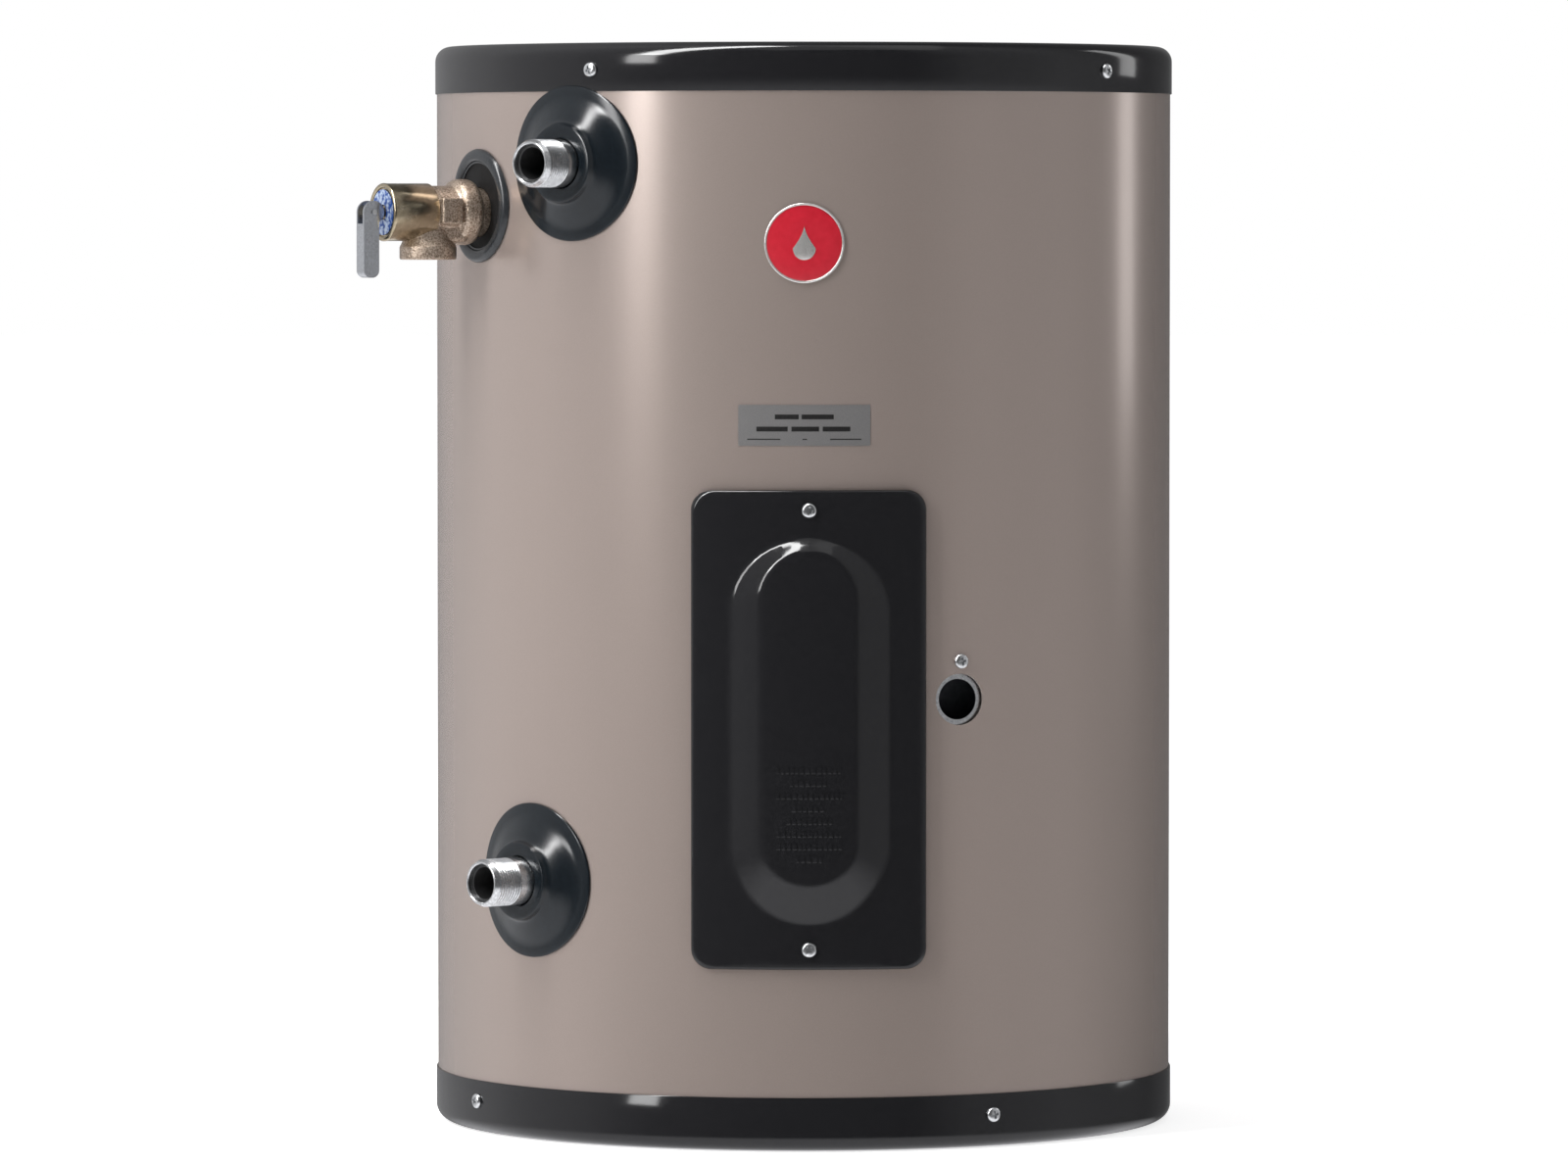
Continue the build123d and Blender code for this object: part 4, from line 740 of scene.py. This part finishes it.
# %% [markdown]
# ## Screws
# All the screws of the casing are alike: a pan head with a cross recess. One is modelled and copied
# to every place where the frame has a screw, which is found by parting the node into its solids.

# %% One screw
HEAD_R, HEAD_H, RECESS_W, RECESS_LONG = 4.2, 2.4, 1.5, 5.8
RECESS_DEEP = 1.9
screw = spun("screw", [(0, -9), (1.4, -8.2), (1.9, -6.5), (1.9, 0.05), (HEAD_R - 0.2, 0.05),
                       (HEAD_R, 0.3)]
             + arc((HEAD_R - 1.9, 0.45), 1.9, 5, 62, 6)
             + [(1.6, HEAD_H - 0.05), (0, HEAD_H)], 32, 40)
for wide, tall in ((RECESS_LONG, RECESS_W), (RECESS_W, RECESS_LONG)):
    size = (wide, tall, 2 * RECESS_DEEP)
    cross = block("cutter", size, (0, 0, HEAD_H))
    editing(cross)
    pick(cross, "vertices", lambda vertex: vertex.co.z < HEAD_H * MM)
    bpy.ops.transform.resize(value=(0.55, 0.55, 1))
    done()
    carve(screw, cross)
smooth(screw, 35)


def seats(node):
    """Centre of each solid in a node."""
    copy = bpy.data.objects.new("seat", nodes[node].data.copy())
    bpy.context.scene.collection.objects.link(copy)
    editing(copy)
    bpy.ops.mesh.remove_doubles(threshold=1e-7)
    bpy.ops.mesh.separate(type="LOOSE")
    done()
    parts = [piece for piece in bpy.context.selected_objects if piece.name.startswith("seat")]
    centres = []
    for part in parts:
        corners = [vertex.co for vertex in part.data.vertices]
        low = Vector([min(corner[axis] for corner in corners) for axis in range(3)])
        high = Vector([max(corner[axis] for corner in corners) for axis in range(3)])
        centres.append((low + high) / 2)
        bpy.data.objects.remove(part)
    return centres


# %% Screws in their places
for name, node, body, station, turn in (
        ("lid_screws", "top_pan_screws", "heater", rim, 20),
        ("base_screws", "bottom_pan_screws", "heater", rim, 65),
        ("cover_screws", "access_cover_screws", "cover", face + COVER_PROUD, 40),
        ("earth_screw", "ground_screw", "heater", face, 10)):
    copies = []
    for index, seat in enumerate(seats(node)):
        copy = bpy.data.objects.new("screw", screw.data.copy())
        bpy.context.scene.collection.objects.link(copy)
        twist = Matrix.Rotation(radians(turn + 37 * index), 4, "Z")
        settle(copy, way_out(seat, seat.z) @ Matrix.Translation((0, 0, station * MM)) @ twist)
        copies.append(copy)
    heads = join(copies, name)
    dressed(heads, body, "zinc", node)
bpy.data.objects.remove(screw)

# %% [markdown]
# ## Badge and label
# The badge is a red enamel disc in a bright rim, with a plain drop of water on it. The label under
# it is a thin grey plate with rows of dark bars. Neither carries any lettering.

# %% Badge
badge_way = way_out((0, -1), middle("badge_plate").z)
BADGE_R, BADGE_RIM = 21.8, 1.3
frame_ring = spun("badge_rim", [(BADGE_R - 3, 0.3), (BADGE_R, 0.3)]
                  + arc((BADGE_R - 0.65, 1.0), 0.65, 0, 180, 8)
                  + [(BADGE_R - BADGE_RIM, 0.7), (BADGE_R - 3, 0.7), (BADGE_R - 3, 0.3)], 128, 50)
rolled(frame_ring)
settle(frame_ring, badge_way)
dressed(frame_ring, "heater", "badge_metal", "badge_plate")
enamel_r = BADGE_R - BADGE_RIM - 0.1
enamel = spun("badge_face", [(0, 0.4), (enamel_r, 0.4), (enamel_r, 1.1), (BADGE_R - 2.4, 1.35),
                             (BADGE_R * 0.5, 1.5), (0, 1.55)], 96, 40)
rolled(enamel)
settle(enamel, badge_way)
dressed(enamel, "heater", "red_enamel", "badge_enamel")

# %% Drop on the badge
DROP_R, DROP_TIP = 6.2, 12.5
bpy.ops.object.select_all(action="DESELECT")
bpy.ops.mesh.primitive_circle_add(vertices=48, radius=DROP_R * MM, fill_type="NGON")
drop = named("badge_drop")
for vertex in drop.data.vertices:
    rise = max(0.0, vertex.co.y / (DROP_R * MM))
    vertex.co.x *= 1 - rise ** 1.2
    vertex.co.y += (DROP_TIP - DROP_R) * MM * rise ** 2
    vertex.co.y -= 3.0 * MM
    vertex.co.z = 1.25 * MM
tidy(drop)
editing(drop, "FACE")
bpy.ops.mesh.extrude_region_move(TRANSFORM_OT_translate={"value": (0, 0, 0.55 * MM)})
done()
tidy(drop)
rounded(drop, 0.15 * MM, 2)
rolled(drop)
settle(drop, badge_way)
smooth(drop)
dressed(drop, "heater", "badge_metal")

# %% Label
label_way = way_out((0, -1), middle("name_label").z)
LABEL_W, LABEL_H, LABEL_T = 71.8, 22.3, 0.3
plate = outline(LABEL_W, LABEL_H, 0.8, LABEL_T)
editing(plate, "FACE")
bpy.ops.mesh.extrude_region_move(TRANSFORM_OT_translate={"value": (0, 0, -(LABEL_T - 0.05) * MM)})
done()
plate = join([plate], "label_plate")
tidy(plate)
strips(plate, LABEL_W / 2, 4.0)
rolled(plate)
settle(plate, label_way)
smooth(plate)
dressed(plate, "heater", "label_grey", "name_label")


def bars(name, rows, station, thick, pitch, tall, up):
    """Rows of plain upright-ended bars, each row a list of (start, end) along it in millimetres."""
    made = []
    for index, row in enumerate(rows):
        for start, end in row:
            made.append(block("bar", (end - start, tall, thick),
                              ((start + end) / 2, up - index * pitch, station + thick / 2)))
    piece = join(made, name)
    rounded(piece, min(tall, thick) * 0.3 * MM, 2)
    strips(piece, 40, 4.0)
    return rolled(piece)


label_bars = bars("label_bars", [[(-16, -3), (-1.5, 16)], [(-26, -9), (-7, 8), (10, 25)]],
                  LABEL_T - 0.05, 0.12, 6.6, 2.6, 4.6)
settle(label_bars, label_way)
smooth(label_bars)
dressed(label_bars, "heater", "gasket_rubber")
label_foot = bars("label_foot", [[(-31, -13), (-1, 1.5), (14, 31)]],
                  LABEL_T - 0.05, 0.1, 1, 0.6, -7.6)
settle(label_foot, label_way)
smooth(label_foot)
dressed(label_foot, "heater", "gasket_rubber")

# %% Moulded bars low on the cover's panel
random.seed(4)
rows = []
for half in (18, 10.5, 18, 9.5, 12.5, 17.5, 18, 7):
    row, start = [], -half
    while start < half - 1:
        long = min(random.uniform(1.6, 2.6), half - start)
        row.append((start, start + long))
        start += long + 0.8
    rows.append(row)
cover_bars = bars("cover_bars", rows, COVER_PROUD + PANEL_RISE - 0.1, 0.45, 6.9, 3.6, -21.5)
settle(cover_bars, cover_way)
smooth(cover_bars)
dressed(cover_bars, "cover", "black_enamel")

# %% [markdown]
# ## Camera
# A long lens from more than five metres flattens the heater as a catalogue picture does. It stands
# a little below the top pan and looks slightly down, so that both pans show their curve.

# %% Camera
CAMERA_PLACE = (-0.011, -5.378, 0.5203)
LENS, SENSOR = 218.8, 36.0
LOOK_DOWN = 2.323682
camera_data = bpy.data.cameras.new("camera")
camera_data.lens = LENS
camera_data.sensor_width = SENSOR
camera_data.clip_end = 50
camera = bpy.data.objects.new("camera", camera_data)
bpy.context.scene.collection.objects.link(camera)
camera.location = CAMERA_PLACE
camera.rotation_euler = (radians(90 - LOOK_DOWN), 0, 0)
bpy.context.scene.camera = camera
print("camera looks down by", round(LOOK_DOWN, 2), "degrees")

# %% [markdown]
# ## Room
# A shiny cylinder shows nothing but its surroundings, so the room is drawn with care. Its walls are
# bright at the left, dark in front and behind at the right, and it is brighter below, as a pale
# floor would be. The camera itself sees a plain white backdrop.

# %% Room
# Headings round the heater in degrees, from the front towards the right, and their brightness.
WALLS = ((-180, 0.20), (-150, 0.46), (-115, 0.80), (-75, 0.62), (-50, 0.24), (-22, 0.14),
         (0, 0.11), (35, 0.11), (55, 0.42), (88, 0.50), (110, 0.30), (135, 0.12), (160, 0.10))
LEFT_WALL = 0.71             # straight to the left, where the ramp begins and ends
GROUND = 1.2
COOL = 1.02                  # a trace more blue
GROUND_COOL = 1.03
scene = bpy.context.scene
scene.view_settings.view_transform = "Standard"
world = bpy.data.worlds.new("room")
scene.world = world
world.use_nodes = True
room = world.node_tree
backdrop = room.nodes["Background"]
backdrop.inputs["Color"].default_value = (1, 1, 1, 1)
surround = add(room, "ShaderNodeBackground")
outlook = add(room, "ShaderNodeTexCoord")
compass = add(room, "ShaderNodeTexGradient", gradient_type="RADIAL")
walls = add(room, "ShaderNodeValToRGB")
stops = walls.color_ramp.elements
for heading, grey in WALLS:
    stops.new((heading / 360 + 0.25) % 1).color = (grey, grey, grey * COOL, 1)
for stop in (stops[0], stops[-1]):
    stop.color = (LEFT_WALL, LEFT_WALL, LEFT_WALL * COOL, 1)
tilt = add(room, "ShaderNodeSeparateXYZ")
below = add(room, "ShaderNodeMapRange", From_Min=-0.25, From_Max=-0.5)
under = add(room, "ShaderNodeMix", data_type="RGBA")
under.inputs["B"].default_value = (GROUND, GROUND, GROUND * GROUND_COOL, 1)
path = add(room, "ShaderNodeLightPath")
choose = add(room, "ShaderNodeMixShader")
for start, end in (
        (outlook.outputs["Generated"], compass.inputs["Vector"]),
        (outlook.outputs["Generated"], tilt.inputs[0]),
        (compass.outputs["Fac"], walls.inputs["Fac"]),
        (tilt.outputs["Z"], below.inputs["Value"]),
        (below.outputs[0], under.inputs["Factor"]),
        (walls.outputs[0], under.inputs["A"]),
        (under.outputs["Result"], surround.inputs["Color"]),
        (path.outputs["Is Camera Ray"], choose.inputs[0]),
        (surround.outputs[0], choose.inputs[1]),
        (backdrop.outputs[0], choose.inputs[2]),
        (choose.outputs[0], room.nodes["World Output"].inputs["Surface"])):
    room.links.new(start, end)
print("room with", len(stops), "stops round the heater")

# %% [markdown]
# ## Lights
# Four soft rectangles stand round the heater. A low strip at the left makes the upright highlight,
# a long one leans over the upper left and catches the cover's panel and the boots, a faint one far
# to the right draws the edge of the jacket, and a weak one overhead lights the lid.

# %% Lights
MID_HEIGHT = 0.35


def soft_light(name, heading, distance, centre, size, power, aim=MID_HEIGHT):
    """Rectangular light at a heading round the heater, in degrees from the front."""
    data = bpy.data.lights.new(name, "AREA")
    data.shape = "RECTANGLE"
    data.size, data.size_y = size
    data.energy = power
    light = bpy.data.objects.new(name, data)
    turn = radians(heading)
    light.location = (distance * sin(turn), -distance * cos(turn), centre)
    toward = Vector((0, 0, aim)) - light.location
    light.rotation_euler = toward.to_track_quat("-Z", "Y").to_euler()
    bpy.context.scene.collection.objects.link(light)
    print(name, power, "W")


soft_light("left_strip", -50, 3.0, 1.30, (0.50, 1.4), 24, 1.30)
soft_light("high_left", -48, 1.7, 2.6, (0.40, 3.4), 100)
soft_light("right_strip", 118, 3.0, 1.5, (0.50, 2.3), 9, 1.5)
soft_light("overhead", 20, 0.8, 3.4, (2.4, 2.4), 10, 0)

# %% [markdown]
# ## Floor
# The floor is plain and nearly white, and glows a little, so that it runs into the backdrop. It is
# hidden from reflections, so that the dark enamel mirrors the room and not the floor.

# %% Floor
FLOOR_SIZE = 60.0
FLOOR_DROP = 0.0005
bpy.ops.object.select_all(action="DESELECT")
bpy.ops.mesh.primitive_plane_add(size=FLOOR_SIZE, location=(0, 0, -FLOOR_DROP))
floor = settle(named("floor"), Matrix())
floor.data.materials.append(finish("pale_floor", (0.88, 0.88, 0.88), (0.9, 0.9, 0.9), 0.0,
                                   (0.6, 0.7), grain=3, bump=0.02, depth=0.5, patches=2,
                                   Emission_Color=(1, 1, 1, 1), Emission_Strength=0.74))
floor.visible_glossy = False
print("floor", FLOOR_SIZE, "m across")
